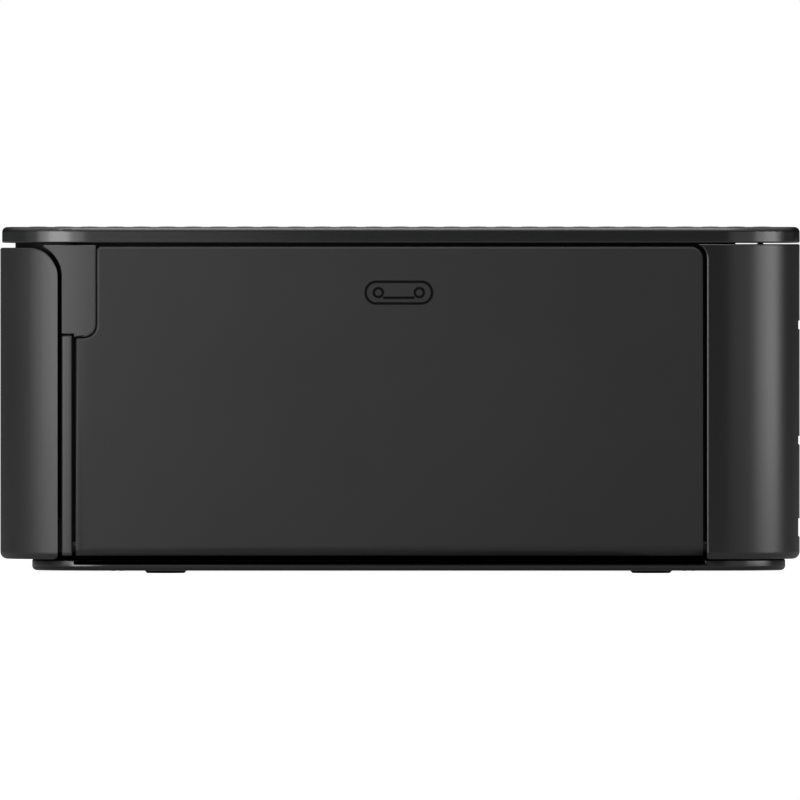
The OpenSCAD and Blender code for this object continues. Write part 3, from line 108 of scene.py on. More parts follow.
class Tree:
    """Shorthand for one material's nodes."""

    def __init__(self, name, base, roughness, metallic=0.0, specular=0.5):
        self.material = bpy.data.materials.new(name)
        self.material.use_nodes = True
        self.tree = self.material.node_tree
        self.shader = self.tree.nodes["Principled BSDF"]
        self.set("Base Color", (*base, 1))
        self.set("Roughness", roughness)
        self.set("Metallic", metallic)
        self.set("Specular IOR Level", specular)
        self.place = self.add("ShaderNodeTexCoord").outputs["Object"]

    def set(self, socket, value):
        """Gives one of the shader's sockets a fixed value."""
        self.shader.inputs[socket].default_value = value

    def drive(self, socket, value):
        """Feeds one of the shader's sockets from another node."""
        self.tree.links.new(value, self.shader.inputs[socket])

    def add(self, kind, inputs=None, **settings):
        return add_node(self.tree, kind, inputs, **settings)

    def noise(self, size_mm, detail=2.0, rough=0.5, stretch=(1, 1, 1)):
        """Noise whose features are about size_mm across, stretched along the axes."""
        scaled = self.add("ShaderNodeMapping", {"Vector": self.place, "Scale": stretch})
        settings = {"Vector": scaled.outputs[0], "Scale": 1 / (size_mm * MM), "Detail": detail,
                    "Roughness": rough}
        return self.add("ShaderNodeTexNoise", settings).outputs["Fac"]

    def waves(self, pitch_mm, axis):
        """Sine bands across one axis, from 0 to 1 once every pitch_mm."""
        radians_per_unit = 20
        scale = 2 * np.pi / radians_per_unit / (pitch_mm * MM)
        return self.add("ShaderNodeTexWave", {"Vector": self.place, "Scale": scale},
                        bands_direction=axis).outputs["Fac"]

    def span(self, value, low, high, from_low=0.3, from_high=0.7):
        """Maps a factor linearly to the range low..high."""
        limits = {"From Min": from_low, "From Max": from_high, "To Min": low, "To Max": high}
        return self.add("ShaderNodeMapRange", {"Value": value, **limits}).outputs["Result"]

    def math(self, operation, a, b):
        return self.add("ShaderNodeMath", {0: a, 1: b}, operation=operation).outputs[0]

    def coordinate(self, axis):
        """One object coordinate in millimetres."""
        split = self.add("ShaderNodeSeparateXYZ", {0: self.place})
        return self.math("DIVIDE", split.outputs[axis], MM)

    def inside(self, axis, low, high):
        """1 where an object coordinate lies between low and high millimetres, else 0."""
        value = self.coordinate(axis)
        above = self.math("GREATER_THAN", value, low)
        return self.math("MULTIPLY", above, self.math("LESS_THAN", value, high))

    def within(self, box):
        """1 where each of the box's coordinates lies between its two limits, else 0."""
        tests = [self.inside(axis, *limits) for axis, limits in box.items()]
        product = tests[0]
        for test in tests[1:]:
            product = self.math("MULTIPLY", product, test)
        return product

    def blend(self, factor, a, b):
        """Mixes two colours, each a value or a socket, by a factor."""
        mix = self.add("ShaderNodeMix", data_type="RGBA")
        self.tree.links.new(factor, mix.inputs["Factor"])
        for side, colour in (("A", a), ("B", b)):
            if isinstance(colour, bpy.types.NodeSocket):
                self.tree.links.new(colour, mix.inputs[side])
            else:
                mix.inputs[side].default_value = (*colour, 1)
        return mix.outputs["Result"]

    def bump(self, height, depth_mm):
        """Surface relief: a height of 1 stands depth_mm above a height of 0."""
        bump = self.add("ShaderNodeBump", {"Height": height, "Distance": depth_mm * MM})
        self.drive("Normal", bump.outputs[0])


def grey(level):
    """Linear colour of an 8-bit grey level."""
    return ((level / 255) ** 2.2,) * 3


def shaded(colour, factor):
    """A colour made darker or lighter by a factor."""
    return tuple(channel * factor for channel in colour)


# ---- Finishes ----

GRAIN_MM, GRAIN_DEPTH = 0.45, 0.006


def moulded_plastic(name, tone, roughness, grain_mm=GRAIN_MM, grain_depth=GRAIN_DEPTH, cloud=0.06,
                    specular=0.5):
    """Spark-eroded moulded plastic: a fine even grain, with faint clouds in colour and gloss."""
    t = Tree(name, tone, roughness, specular=specular)
    cloudy = t.span(t.noise(26, 3), 0, 1)
    t.drive("Base Color", t.blend(cloudy, shaded(tone, 1 - cloud), shaded(tone, 1 + cloud)))
    t.drive("Roughness", t.span(t.noise(40, 2), roughness - 0.02, roughness + 0.02))
    t.bump(t.noise(grain_mm, 2, 0.6), grain_depth)
    return t.material


# Box of the strip beside the ink door, up to the cover
DOOR_STRIP = {"X": (RIGHT - 5, RIGHT + 1), "Y": (-56.4, -54.1), "Z": (-1, 45)}


def mouth_plastic_painted_shade(name):
    """Front frame: near-black round the mouth, a painted shade for the neck under the cover; paler
    and glossier on the strip by the ink door.
    """
    # The near-black is painted shade: the frame is darkened where the neck under the cover lies in
    # shade
    black, dark = grey(12), grey(30)
    t = Tree(name, black, 0.5)
    strip = t.within(DOOR_STRIP)
    t.drive("Base Color", t.blend(strip, black, dark))
    t.drive("Roughness", t.span(strip, 0.55, 0.42, 0, 1))
    t.drive("Specular IOR Level", t.span(strip, 0.3, 0.62, 0, 1))
    t.bump(t.noise(GRAIN_MM, 2, 0.6), GRAIN_DEPTH)
    return t.material


def rubber(name, tone, roughness=0.75):
    """Ground or moulded rubber: matt, with coarse pores and dusty patches."""
    t = Tree(name, tone, roughness, specular=0.3)
    t.drive("Base Color", t.blend(t.span(t.noise(5, 4), 0, 1), tone, shaded(tone, 1.6)))
    t.drive("Roughness", t.span(t.noise(1.2, 3), roughness - 0.1, roughness + 0.1))
    t.bump(t.noise(0.25, 3, 0.7), 0.02)
    return t.material


def turned_metal(name, tone, roughness, axis_stretch):
    """Ground or drawn metal: fine lines along the stretched axes, with small changes of tone."""
    t = Tree(name, tone, roughness, metallic=1.0)
    lines = t.noise(0.3, 3, 0.6, stretch=axis_stretch)
    t.drive("Base Color", t.blend(t.span(lines, 0, 1), shaded(tone, 0.86), shaded(tone, 1.06)))
    t.drive("Roughness", t.span(lines, roughness - 0.06, roughness + 0.08))
    t.bump(lines, 0.004)
    return t.material


def sheet_steel(name):
    """Zinc-plated sheet: a soft spangle of cells, fine rolling lines and a slight blue haze."""
    tone = (0.60, 0.615, 0.63)
    t = Tree(name, tone, 0.34, metallic=1.0)
    cell_mm = 2.2
    cells = t.add("ShaderNodeTexVoronoi", {"Vector": t.place, "Scale": 1 / (cell_mm * MM)})
    spangle = t.add("ShaderNodeSeparateColor", {0: cells.outputs["Color"]}).outputs[0]
    t.drive("Base Color", t.blend(spangle, shaded(tone, 0.88), shaded(tone, 1.08)))
    t.drive("Roughness", t.span(spangle, 0.28, 0.42, 0, 1))
    t.bump(t.noise(0.5, 2, stretch=(1, 0.08, 1)), 0.006)
    return t.material


def smoked_glass(name):
    """Hard-coated smoked window: dark tint, a sharp reflection, faint wiping marks in the gloss."""
    t = Tree(name, (0.025, 0.027, 0.032), 0.06, specular=0.6)
    t.set("Coat Weight", 0.6)
    t.set("Coat Roughness", 0.04)
    t.drive("Roughness", t.span(t.noise(14, 4, stretch=(1, 0.3, 1)), 0.05, 0.1))
    return t.material


def clear_lens(name):
    """Clear light guide: half milky, with a faintly frosted face."""
    t = Tree(name, (0.75, 0.85, 0.95), 0.2)
    t.set("Transmission Weight", 0.5)
    t.drive("Roughness", t.span(t.noise(0.4, 2), 0.15, 0.3))
    return t.material


def glazed_ceramic(name):
    """Thermal head: cream ceramic with a brown glaze line along its heaters."""
    t = Tree(name, (0.8, 0.74, 0.62), 0.25)
    heater_y, half_width = middle("thermal_head")[1], 0.6
    heaters = t.inside("Y", heater_y - half_width, heater_y + half_width)
    speckle = t.blend(t.span(t.noise(0.8, 3), 0, 1), (0.74, 0.68, 0.56), (0.84, 0.79, 0.68))
    t.drive("Base Color", t.blend(heaters, speckle, (0.12, 0.05, 0.02)))
    t.drive("Roughness", t.span(t.noise(2, 2), 0.18, 0.32))
    return t.material


def dye_film(name):
    """Ink film: yellow, magenta, cyan and clear panels along its run, thin and glossy."""
    t = Tree(name, (0.7, 0.55, 0.05), 0.12)
    low, high = extent("ink_ribbon")
    panel = (high[1] - low[1]) / 3
    magenta = t.inside("Y", low[1] + panel, low[1] + 2 * panel)
    cyan = t.inside("Y", low[1] + 2 * panel, high[1] + 1)
    tint = t.blend(magenta, (0.62, 0.48, 0.03), (0.45, 0.02, 0.14))
    tint = t.blend(cyan, tint, (0.02, 0.22, 0.5))
    t.drive("Base Color", t.blend(t.span(t.noise(6, 2), 0, 0.25), tint, (0.3, 0.25, 0.1)))
    t.bump(t.noise(9, 2, stretch=(0.15, 1, 1)), 0.05)
    t.set("Coat Weight", 0.5)
    return t.material


def board_green(t):
    """Solder mask over a mesh of tracks, with paler lines where the copper lies below."""
    along = t.span(t.waves(1.7, "X"), 0, 1, 0.86, 0.93)
    across = t.span(t.waves(2.3, "Y"), 0, 1, 0.9, 0.96)
    tracks = t.math("MAXIMUM", along, across)
    patches = t.span(t.noise(7, 1), 0, 1, 0.5, 0.53)
    mask = t.math("MULTIPLY", tracks, patches)
    return t.blend(mask, (0.008, 0.085, 0.035), (0.03, 0.2, 0.08))


def key_circuit(name):
    """Small switch board: green mask with tracks and a slight weave."""
    t = Tree(name, (0.01, 0.1, 0.04), 0.3)
    t.drive("Base Color", board_green(t))
    t.drive("Roughness", t.span(t.noise(1.1, 2), 0.22, 0.38))
    t.bump(t.noise(0.6, 1), 0.01)
    return t.material


BOARD_T = 1.65
CARD_READER = {"Y": (-80, -30)}
USB_SOCKET = {"X": (-67, -55), "Y": (50, 80)}


def main_circuit(name):
    """Main board: green mask, steel card reader and USB shell, black DC socket and chips above."""
    t = Tree(name, (0.01, 0.1, 0.04), 0.3)
    board_top = extent("main_board")[0][2] + BOARD_T
    raised = t.math("GREATER_THAN", t.coordinate("Z"), board_top)
    shells = t.math("MAXIMUM", t.within(CARD_READER), t.within(USB_SOCKET))
    steel = t.math("MULTIPLY", raised, shells)
    parts = t.blend(shells, (0.012, 0.012, 0.013), (0.6, 0.6, 0.62))
    t.drive("Base Color", t.blend(raised, board_green(t), parts))
    t.drive("Metallic", steel)
    t.drive("Roughness", t.span(t.noise(1.5, 3), 0.25, 0.4))
    t.bump(t.noise(0.5, 1), 0.01)
    return t.material


def display_stack(name):
    """Display: a near-black active area in a grey plastic frame."""
    t = Tree(name, (0.02, 0.022, 0.028), 0.2)
    frame_t = 1.05
    area = t.math("GREATER_THAN", t.coordinate("Z"), extent("display_module")[0][2] + frame_t)
    t.drive("Base Color", t.blend(area, (0.16, 0.165, 0.17), (0.012, 0.013, 0.018)))
    t.drive("Roughness", t.span(t.noise(0.5, 2), 0.15, 0.28))
    return t.material


def switch_caps(name):
    """Tinned switch covers, dulled in small patches."""
    t = Tree(name, (0.62, 0.61, 0.58), 0.35, metallic=0.85)
    dull = t.noise(0.7, 3)
    t.drive("Base Color", t.blend(t.span(dull, 0, 1), (0.5, 0.49, 0.47), (0.66, 0.65, 0.62)))
    t.drive("Roughness", t.span(dull, 0.28, 0.45))
    return t.material


def printed_white(name):
    """Pad-printed symbols: pale grey ink, a little uneven."""
    t = Tree(name, grey(196), 0.5)
    t.drive("Base Color", t.blend(t.span(t.noise(0.7, 3), 0, 1), grey(182), grey(202)))
    t.drive("Roughness", t.span(t.noise(0.3, 2), 0.4, 0.6))
    return t.material


FINISHES = {
    "case_plastic": moulded_plastic("case_plastic", grey(31), 0.29, specular=0.88),
    "door_plastic": moulded_plastic("door_plastic", grey(46), 0.55, grain_mm=0.6, grain_depth=0.012,
                                    specular=0.46),
    "frame_plastic": moulded_plastic("frame_plastic", grey(26), 0.42),
    "foot_rubber": rubber("foot_rubber", grey(24)),
    "key_plastic": moulded_plastic("key_plastic", grey(62), 0.4, grain_mm=0.3),
    "window_glass": smoked_glass("window_glass"),
    "display_panel": display_stack("display_panel"),
    "circuit_board": key_circuit("circuit_board"),
    "switch_metal": switch_caps("switch_metal"),
    "lens_plastic": clear_lens("lens_plastic"),
    "sheet_steel": sheet_steel("sheet_steel"),
    "shaft_steel": turned_metal("shaft_steel", (0.62, 0.62, 0.64), 0.22, (0.05, 1, 1)),
    "gear_plastic": moulded_plastic("gear_plastic", (0.72, 0.70, 0.64), 0.38, grain_mm=0.8,
                                    cloud=0.03),
    "guide_plastic": moulded_plastic("guide_plastic", grey(30), 0.3, grain_mm=0.5,
                                     grain_depth=0.004),
    "roller_rubber": rubber("roller_rubber", grey(36), 0.65),
    "head_ceramic": glazed_ceramic("head_ceramic"),
    "heatsink_aluminium": turned_metal("heatsink_aluminium", (0.7, 0.71, 0.73), 0.36, (0.04, 1, 1)),
    "cassette_plastic": moulded_plastic("cassette_plastic", grey(84), 0.44, grain_mm=0.7),
    "spool_plastic": moulded_plastic("spool_plastic", grey(40), 0.3, grain_mm=1.0),
    "ribbon_film": dye_film("ribbon_film"),
    "lever_plastic": moulded_plastic("lever_plastic", (0.62, 0.21, 0.02), 0.34, grain_mm=0.5,
                                     cloud=0.04),
    "motor_steel": turned_metal("motor_steel", (0.55, 0.56, 0.57), 0.3, (1, 0.1, 0.1)),
    "pinion_brass": turned_metal("pinion_brass", (0.72, 0.52, 0.2), 0.28, (0.1, 1, 1)),
    "fan_plastic": moulded_plastic("fan_plastic", grey(30), 0.4, grain_mm=0.5),
}
COVER_TONE = tuple(np.array(grey(36)) * (0.97, 1.03, 1.0))
COVER = moulded_plastic("cover_plastic", COVER_TONE, 0.22, specular=0.9)
FLAP = moulded_plastic("flap_plastic", grey(34), 0.44, specular=0.72)
BASE = moulded_plastic("base_plastic", grey(10), 0.22, grain_depth=0.004, specular=1.0)
PILLAR = moulded_plastic("pillar_plastic", grey(64), 0.6, grain_mm=0.6, specular=0.5)
FRAME = mouth_plastic_painted_shade("mouth_plastic_painted_shade")
SYMBOLS = printed_white("printed_white")
ENGRAVED = moulded_plastic("engraved_black", grey(8), 0.6, specular=0.15)
SCREW_STEEL = turned_metal("screw_steel", (0.3, 0.3, 0.31), 0.35, (1, 1, 1))
BLACKENED = turned_metal("blackened_steel", (0.04, 0.04, 0.042), 0.45, (1, 1, 0.1))
BY_NODE = {
    "top_cover": COVER,
    "base_tray": BASE,
    "front_flap": FLAP,
    "front_pillar": PILLAR,
    "front_frame": FRAME,
    "main_board": main_circuit("main_circuit"),
    "ink_door_pins": BLACKENED,
    "flap_hinge_pins": BLACKENED,
}

for name, node in NODES.items():
    slot = node.data.materials[0].name.split(".")[0]
    node.data.materials.clear()
    node.data.materials.append(BY_NODE.get(name) or FINISHES[slot])


# ---- Edges of the CAD nodes ----

SHARP_DEG = 35.0
FLAT_DEG = 0.6


def edge_choice(low, high, elsewhere):
    """Node group that stores how much each edge of a node is rounded.

    A convex edge of more than SHARP_DEG gets 1 where its middle lies between the corners low and
    high, and the share elsewhere outside them. Every other edge gets 0.
    """
    group = bpy.data.node_groups.new("edge_choice", "GeometryNodeTree")
    for way in ("INPUT", "OUTPUT"):
        group.interface.new_socket("Geometry", in_out=way, socket_type="NodeSocketGeometry")

    def add(kind, inputs=None, **settings):
        return add_node(group, kind, inputs, **settings).outputs

    def both(a, b):
        return add("ShaderNodeMath", {0: a, 1: b}, operation="MULTIPLY")[0]

    def above(value, limit):
        return add("ShaderNodeMath", {0: value, 1: limit}, operation="GREATER_THAN")[0]

    angle = add("GeometryNodeInputMeshEdgeAngle")["Signed Angle"]
    place = add("ShaderNodeSeparateXYZ", {0: add("GeometryNodeInputPosition")[0]})
    inside = None
    for axis in range(3):
        for limit, sign in ((low[axis], 1), (high[axis], -1)):
            test = above(both(place[axis], sign), sign * limit * MM)
            inside = both(inside, test) if inside else test
    share = add("ShaderNodeMapRange", {"Value": inside, "To Min": elsewhere, "To Max": 1.0})[0]
    weight = both(above(angle, np.radians(SHARP_DEG)), share)
    entry = add("NodeGroupInput")[0]
    stored = add("GeometryNodeStoreNamedAttribute",
                 {"Geometry": entry, "Name": "bevel_weight_edge", "Value": weight},
                 data_type="FLOAT", domain="EDGE")[0]
    add("NodeGroupOutput", {0: stored})
    return group


EVERYWHERE = ((-999, -999, -999), (999, 999, 999))


def soften(name, width, between=EVERYWHERE, elsewhere=0.25, slide=True):
    """Rounds a node's sharp edges: triangles are joined into faces, and the faces are bevelled.

    The edges between the two corners get the whole width in millimetres, and the others the share
    elsewhere. With slide, a corner's new points run along the edges that meet there. The shading
    follows the larger faces.
    """
    modifiers = NODES[name].modifiers
    weld = modifiers.new("join", "WELD")
    weld.merge_threshold = 1e-6
    flat = modifiers.new("faces", "DECIMATE")
    flat.decimate_type = "DISSOLVE"
    flat.angle_limit = np.radians(FLAT_DEG)
    modifiers.new("choice", "NODES").node_group = edge_choice(*between, elsewhere)
    bevel = modifiers.new("edges", "BEVEL")
    bevel.limit_method = "WEIGHT"
    bevel.width = width * MM
    bevel.segments = 3
    bevel.use_clamp_overlap = False
    bevel.loop_slide = slide
    bevel.miter_outer = "MITER_ARC"
    shading = modifiers.new("shading", "WEIGHTED_NORMAL")
    shading.weight = 60


# Width, the box whose edges get it whole, and the share that the other edges get
soften("ink_door", 0.5, ((RIGHT - 1.2, -99, 6), (RIGHT + 1, 99, 60)), 0, slide=False)
soften("front_flap", 0.35, ((-99, -99, 51.4), (99, 99, 60)))
soften("front_pillar", 0.3, ((RIGHT - 6, -52.6, 0), (RIGHT + 1, 0, 60)), 0.5)
soften("case_shell", 0.35, ((RIGHT - 3, 0, 0), (RIGHT + 1, 54.5, 60)), slide=False)
soften("front_frame", 0.25, ((RIGHT - 5, -56.2, 0), (RIGHT + 1, -54.3, 60)), 0.4)
PLAIN_WIDTHS = {"base_tray": 0.2, "ink_bay_frame": 0.2, "cassette_shell": 0.25, "top_cover": 0.12}
for name, width in PLAIN_WIDTHS.items():
    soften(name, width)


# ---- Surfaces ----

def grid_faces(rows, columns, wrap_rows=False, wrap_columns=False):
    """Quads of a grid of points numbered row by row; a wrapped side joins its two end lines."""
    row = np.arange(rows if wrap_rows else rows - 1)[:, None]
    column = np.arange(columns if wrap_columns else columns - 1)[None, :]
    next_row, next_column = (row + 1) % rows, (column + 1) % columns
    corners = [row * columns + column, row * columns + next_column,
               next_row * columns + next_column, next_row * columns + column]
    return np.stack(np.broadcast_arrays(*corners), axis=-1).reshape(-1, 4)


def repeated(points, faces, places):
    """Copies a shape to many places: points + place for each, with the faces numbered on."""
    count = len(points)
    moved = (points[None] + np.asarray(places)[:, None]).reshape(-1, 3)
    numbered = [[index + count * copy for index in face]
                for copy in range(len(places)) for face in faces]
    return moved, numbered


def joined(shapes):
    """One mesh from several (points, faces) shapes."""
    points, faces, start = [], [], 0
    for shape_points, shape_faces in shapes:
        points.append(shape_points)
        faces += [[index + start for index in face] for face in shape_faces]
        start += len(shape_points)
    return np.concatenate(points), faces


def enclosed_volume(points, faces):
    """Sum over the faces of the pyramids from the origin: positive when the faces turn outwards."""
    fans = [(face[0], face[i], face[i + 1]) for face in faces for i in range(1, len(face) - 1)]
    a, b, c = (points[[fan[corner] for fan in fans]] for corner in range(3))
    return np.einsum("ij,ij->i", a, np.cross(b, c)).sum() / 6


def make_piece(name, shape, material, ride):
    """Makes a closed shape a piece: faces turned outwards, curved faces shaded smooth."""
    points, faces = np.asarray(shape[0], float), [list(map(int, face)) for face in shape[1]]
    if enclosed_volume(points, faces) < 0:
        faces = [face[::-1] for face in faces]
    mesh = bpy.data.meshes.new(name)
    mesh.from_pydata((points * MM).tolist(), [], faces)
    mesh.polygons.foreach_set("use_smooth", np.ones(len(faces), bool))
    mesh.set_sharp_from_angle(angle=np.radians(SHARP_DEG))
    mesh.materials.append(material)
    item = bpy.data.objects.new(name, mesh)
    bpy.context.collection.objects.link(item)
    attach(item, ride)


def stroke(path, width, height, closed=False):
    """Raised line: a flat-topped section with chamfered edges, carried along a path in the plane.

    Each path point is moved sideways along the path's normal by the section's offset; the third
    coordinate is the section's height. An open line is closed by its end sections.
    """
    path = np.asarray(path, float)
    ahead = np.roll(path, -1, 0) - path if closed else np.gradient(path, axis=0)
    if closed:
        ahead = (ahead + np.roll(ahead, 1, 0)) / 2
    ahead /= np.linalg.norm(ahead, axis=1)[:, None]
    side = np.stack([-ahead[:, 1], ahead[:, 0]], 1)
    half, edge = width / 2, min(height, width / 4)
    section = np.array([[-half, -height], [-half, height - edge], [-half + edge, height],
                        [half - edge, height], [half, height - edge], [half, -height]])
    across = path[:, None] + side[:, None] * section[None, :, :1]
    up = np.broadcast_to(section[None, :, 1:], (len(path), len(section), 1))
    points = np.concatenate([across, up], -1).reshape(-1, 3)
    faces = grid_faces(len(path), len(section), wrap_rows=closed, wrap_columns=True).tolist()
    if not closed:
        last = (len(path) - 1) * len(section)
        faces += [list(range(len(section)))[::-1], [last + i for i in range(len(section))]]
    return points, faces


def arc(radius, start_deg, end_deg, centre=(0, 0), steps=32):
    """Arc of a circle: the centre plus radius times (cos a, sin a)."""
    angle = np.radians(np.linspace(start_deg, end_deg, steps))
    return np.stack([centre[0] + radius * np.cos(angle), centre[1] + radius * np.sin(angle)], 1)


def line(*corners):
    """Straight runs through the corners, each in four steps."""
    runs = [np.linspace(a, b, 5)[:-1] for a, b in zip(corners[:-1], corners[1:])]
    return np.concatenate(runs + [np.array([corners[-1]], float)])


def rounded_frame(width, height, radius, steps=8):
    """Closed outline of a rounded rectangle, corner by corner."""
    reach_x, reach_y = width / 2 - radius, height / 2 - radius
    corners = [(1, 1, 0), (-1, 1, 90), (-1, -1, 180), (1, -1, 270)]
    return np.concatenate([arc(radius, start, start + 90, (sx * reach_x, sy * reach_y), steps)
                           for sx, sy, start in corners])


# ---- Symbols ----

LINE_W = 0.5
INK_H = 0.06


def ink(path, closed=False):
    """One printed stroke along a path."""
    return stroke(path, LINE_W, INK_H, closed)


# Strokes of each key's plain symbol, about 4 mm across, round the origin
KEY_SYMBOLS = {
    "power": [ink(arc(1.9, 125, 415)), ink(line((0, 0.5), (0, 2.5)))],
    "menu": [ink(line((-1.8, y), (1.8, y))) for y in (-1.3, 0, 1.3)],
    "back": [ink(arc(1.7, -60, 150)), ink(line((-2.7, 1.4), (-1.45, 0.6), (-0.7, 1.9)))],
    "print": [ink(rounded_frame(4.6, 3.2, 0.5), closed=True), ink(line((-1.2, -0.5), (1.2, -0.5)))],
    "ok": [ink(arc(1.5, 0, 351, steps=40), closed=True)],
    "plus": [ink(line((-1.5, 0), (1.5, 0))), ink(line((0, -1.5), (0, 1.5)))],
    "minus": [ink(line((-1.5, 0), (1.5, 0)))],
}


def on_top(shapes, at, height, dish_radius=None, turn_deg=0.0):
    """Lays strokes on the cover: turned, moved to a place, and lowered with a key's dished top."""
    points, faces = joined(shapes)
    turn = np.radians(turn_deg)
    x = points[:, 0] * np.cos(turn) - points[:, 1] * np.sin(turn)
    y = points[:, 0] * np.sin(turn) + points[:, 1] * np.cos(turn)
    z = height + points[:, 2]
    if dish_radius:
        z = z + dish_radius - np.sqrt(dish_radius ** 2 - x ** 2 - y ** 2)
    return np.stack([x + at[0], y + at[1], z], 1), faces


DISH_RADIUS = 40.0
DISH_DEPTH = 0.25
FLAT_KEYS = ("plus", "minus")
key_top = extent("plus_key")[1][2]
for kind, strokes in KEY_SYMBOLS.items():
    place = middle(kind + "_key")[:2]
    if kind in FLAT_KEYS:
        shape = on_top(strokes, place, key_top)
    else:
        shape = on_top(strokes, place, key_top - DISH_DEPTH, DISH_RADIUS)
    make_piece(kind + "_symbol", shape, SYMBOLS, kind + "_key")

ARROW_AT = 10.5
ARROW_SINK = 0.38
ring_middle, ring_top = middle("four_way_ring")[:2], extent("four_way_ring")[1][2]
arrow = [ink(line((-1.1, -0.55), (0, 0.55), (1.1, -0.55)))]
arrows = []
for turn in range(0, 360, 90):
    out = np.radians(turn + 90)
    place = ring_middle + ARROW_AT * np.array([np.cos(out), np.sin(out)])
    arrows.append(on_top(arrow, place, ring_top - ARROW_SINK, turn_deg=turn))
make_piece("ring_arrows", joined(arrows), SYMBOLS, "ring")


def on_side(shapes, middle_y, middle_z, x):
    """Stands strokes on a face that looks along +X."""
    points, faces = joined(shapes)
    return np.stack([x + points[:, 2], middle_y + points[:, 0], middle_z + points[:, 1]], 1), faces


DOOR_LINE_W, DOOR_LINE_H = 0.42, 0.05
SYMBOL_Y, SYMBOL_Z = -0.2, 46.7


def cassette_symbol():
    """Ink cassette seen from its end: two reels in one rounded outline, joined by the film."""
    wide, tall, corner = 11.0, 3.6, 1.75
    reel_x, reel_radius = 3.4, 0.75
    circles = [arc(reel_radius, 0, 351, (x, 0), 40) for x in (-reel_x, reel_x)]
    reels = [stroke(circle, DOOR_LINE_W, DOOR_LINE_H, closed=True) for circle in circles]
    film = stroke(line((-2.6, -0.85), (2.6, -0.85)), DOOR_LINE_W, DOOR_LINE_H)
    outline = rounded_frame(wide, tall, corner, 12)
    return [stroke(outline, DOOR_LINE_W, DOOR_LINE_H, closed=True), film, *reels]


make_piece("door_symbol", on_side(cassette_symbol(), SYMBOL_Y, SYMBOL_Z, RIGHT), ENGRAVED, "door")


# ---- Cover texture ----

TILE_PITCH = 4.3
TILE_SIZE = 3.4
TILE_H = 0.09
TILE_SINK = 0.02
TILE_CORNER = 0.35
COVER_CORNER_R = 15.2
COVER_RIM = 1.4
SIDE_MARGIN, BACK_MARGIN = 3.2, 3.4
KEY_MARGIN = 0.6
LENS_MARGIN = 3.6
WINDOW_MARGIN = 1.5


def tile():
    """Low square cushion: a dome whose sides fall to the cover, with its corners pulled in.

    Grid point (u, v) in -1..1 lies at half (u sqrt(1 - k v^2), v sqrt(1 - k u^2)), at the height
    h (1 - u^4) (1 - v^4), and the rim goes a little below the cover.
    """
    lines = np.array([-1, -0.7, 0, 0.7, 1])
    u, v = (side.ravel() for side in np.meshgrid(lines, lines, indexing="ij"))
    pull = 2 * TILE_CORNER / TILE_SIZE
    x = TILE_SIZE / 2 * u * np.sqrt(1 - pull * v ** 2)
    y = TILE_SIZE / 2 * v * np.sqrt(1 - pull * u ** 2)
    z = TILE_H * (1 - u ** 4) * (1 - v ** 4) - TILE_SINK
    rim = [0, 1, 2, 3, 4, 9, 14, 19, 24, 23, 22, 21, 20, 15, 10, 5]
    return np.stack([x, y, z], 1), grid_faces(5, 5).tolist() + [rim]


def tile_places():
    """Grid of tile middles on the cover, clear of the keys, lens, window and rounded rim."""
    count_x = np.floor((RIGHT - SIDE_MARGIN) / TILE_PITCH)
    count_y = np.floor((BACK - BACK_MARGIN) / TILE_PITCH)
    columns = np.arange(-count_x, count_x + 1) * TILE_PITCH
    rows = np.arange(-count_y, count_y + 1) * TILE_PITCH
    x, y = (side.ravel() for side in np.meshgrid(columns, rows))
    half = TILE_SIZE / 2
    over_x = np.maximum(abs(x) + half - (RIGHT - COVER_CORNER_R), 0)
    over_y = np.maximum(abs(y) + half - (BACK - COVER_CORNER_R), 0)
    keep = np.hypot(over_x, over_y) < COVER_CORNER_R - COVER_RIM
    keys = ("power_key", "menu_key", "back_key", "print_key", "plus_key", "minus_key",
            "four_way_ring")
    for node, margin in {**dict.fromkeys(keys, KEY_MARGIN), "display_glass": WINDOW_MARGIN}.items():
        low, high = extent(node)
        away_x = abs(x - np.clip(x, low[0], high[0]))
        away_y = abs(y - np.clip(y, low[1], high[1]))
        keep &= (away_x >= half + margin) | (away_y >= half + margin)
    lens = middle("status_lens")
    keep &= np.hypot(x - lens[0], y - lens[1]) > LENS_MARGIN
    return np.stack([x[keep], y[keep], np.full(keep.sum(), TOP)], 1)


make_piece("cover_texture", repeated(*tile(), tile_places()), COVER, "case")


# ---- Screws ----

def screw_head(radius, dome, recess):
    """Screw head with a cross recess: a polar grid whose height is a low dome less four slots."""
    rings, spokes = 16, 64
    slot_half, slot_reach, skirt_depth = 0.13 * radius, 0.62 * radius, dome + 0.1
    r = np.linspace(0, 1, rings)[1:, None]
    a = np.linspace(0, 2 * np.pi, spokes, endpoint=False)[None, :]
    x, y = radius * r * np.cos(a), radius * r * np.sin(a)
    slot = np.exp(-(np.minimum(abs(x), abs(y)) / slot_half) ** 4) * (np.hypot(x, y) < slot_reach)
    z = dome * (1 - r ** 2) * np.ones_like(a) - recess * slot
    top = np.stack([x, y, z], -1).reshape(-1, 3)
    skirt = top[-spokes:] - [0, 0, skirt_depth]
    points = np.concatenate([top, skirt, [[0, 0, dome - recess]]])
    faces = grid_faces(rings, spokes, wrap_columns=True).tolist()
    centre = len(points) - 1
    faces += [[centre, i, (i + 1) % spokes] for i in range(spokes)]
    faces.append([rings * spokes - 1 - i for i in range(spokes)])
    return points, faces


def facing_down(shape):
    """A shape turned over about the X axis."""
    points, faces = shape
    return points * [1, -1, -1], faces


SCREW_INSET = 11.0
SCREW_ROWS = (-47.0, 48.0)
SCREW_SINK = 0.06
base_low, base_high = extent("base_tray")
screw_x, screw_z = base_high[0] - SCREW_INSET, base_low[2] + SCREW_SINK
screw_places = [(x, y, screw_z) for x in (-screw_x, screw_x) for y in SCREW_ROWS]
screws = repeated(*facing_down(screw_head(radius=2.6, dome=0.2, recess=0.25)), screw_places)
make_piece("base_screws", screws, SCREW_STEEL, "case")


# ---- Studio ----

FLOOR_TONE = 0.22
FLOOR_SEEN = 0.98
FLOOR_MIRRORED = 0.12
FLOOR_HALF = 6.0
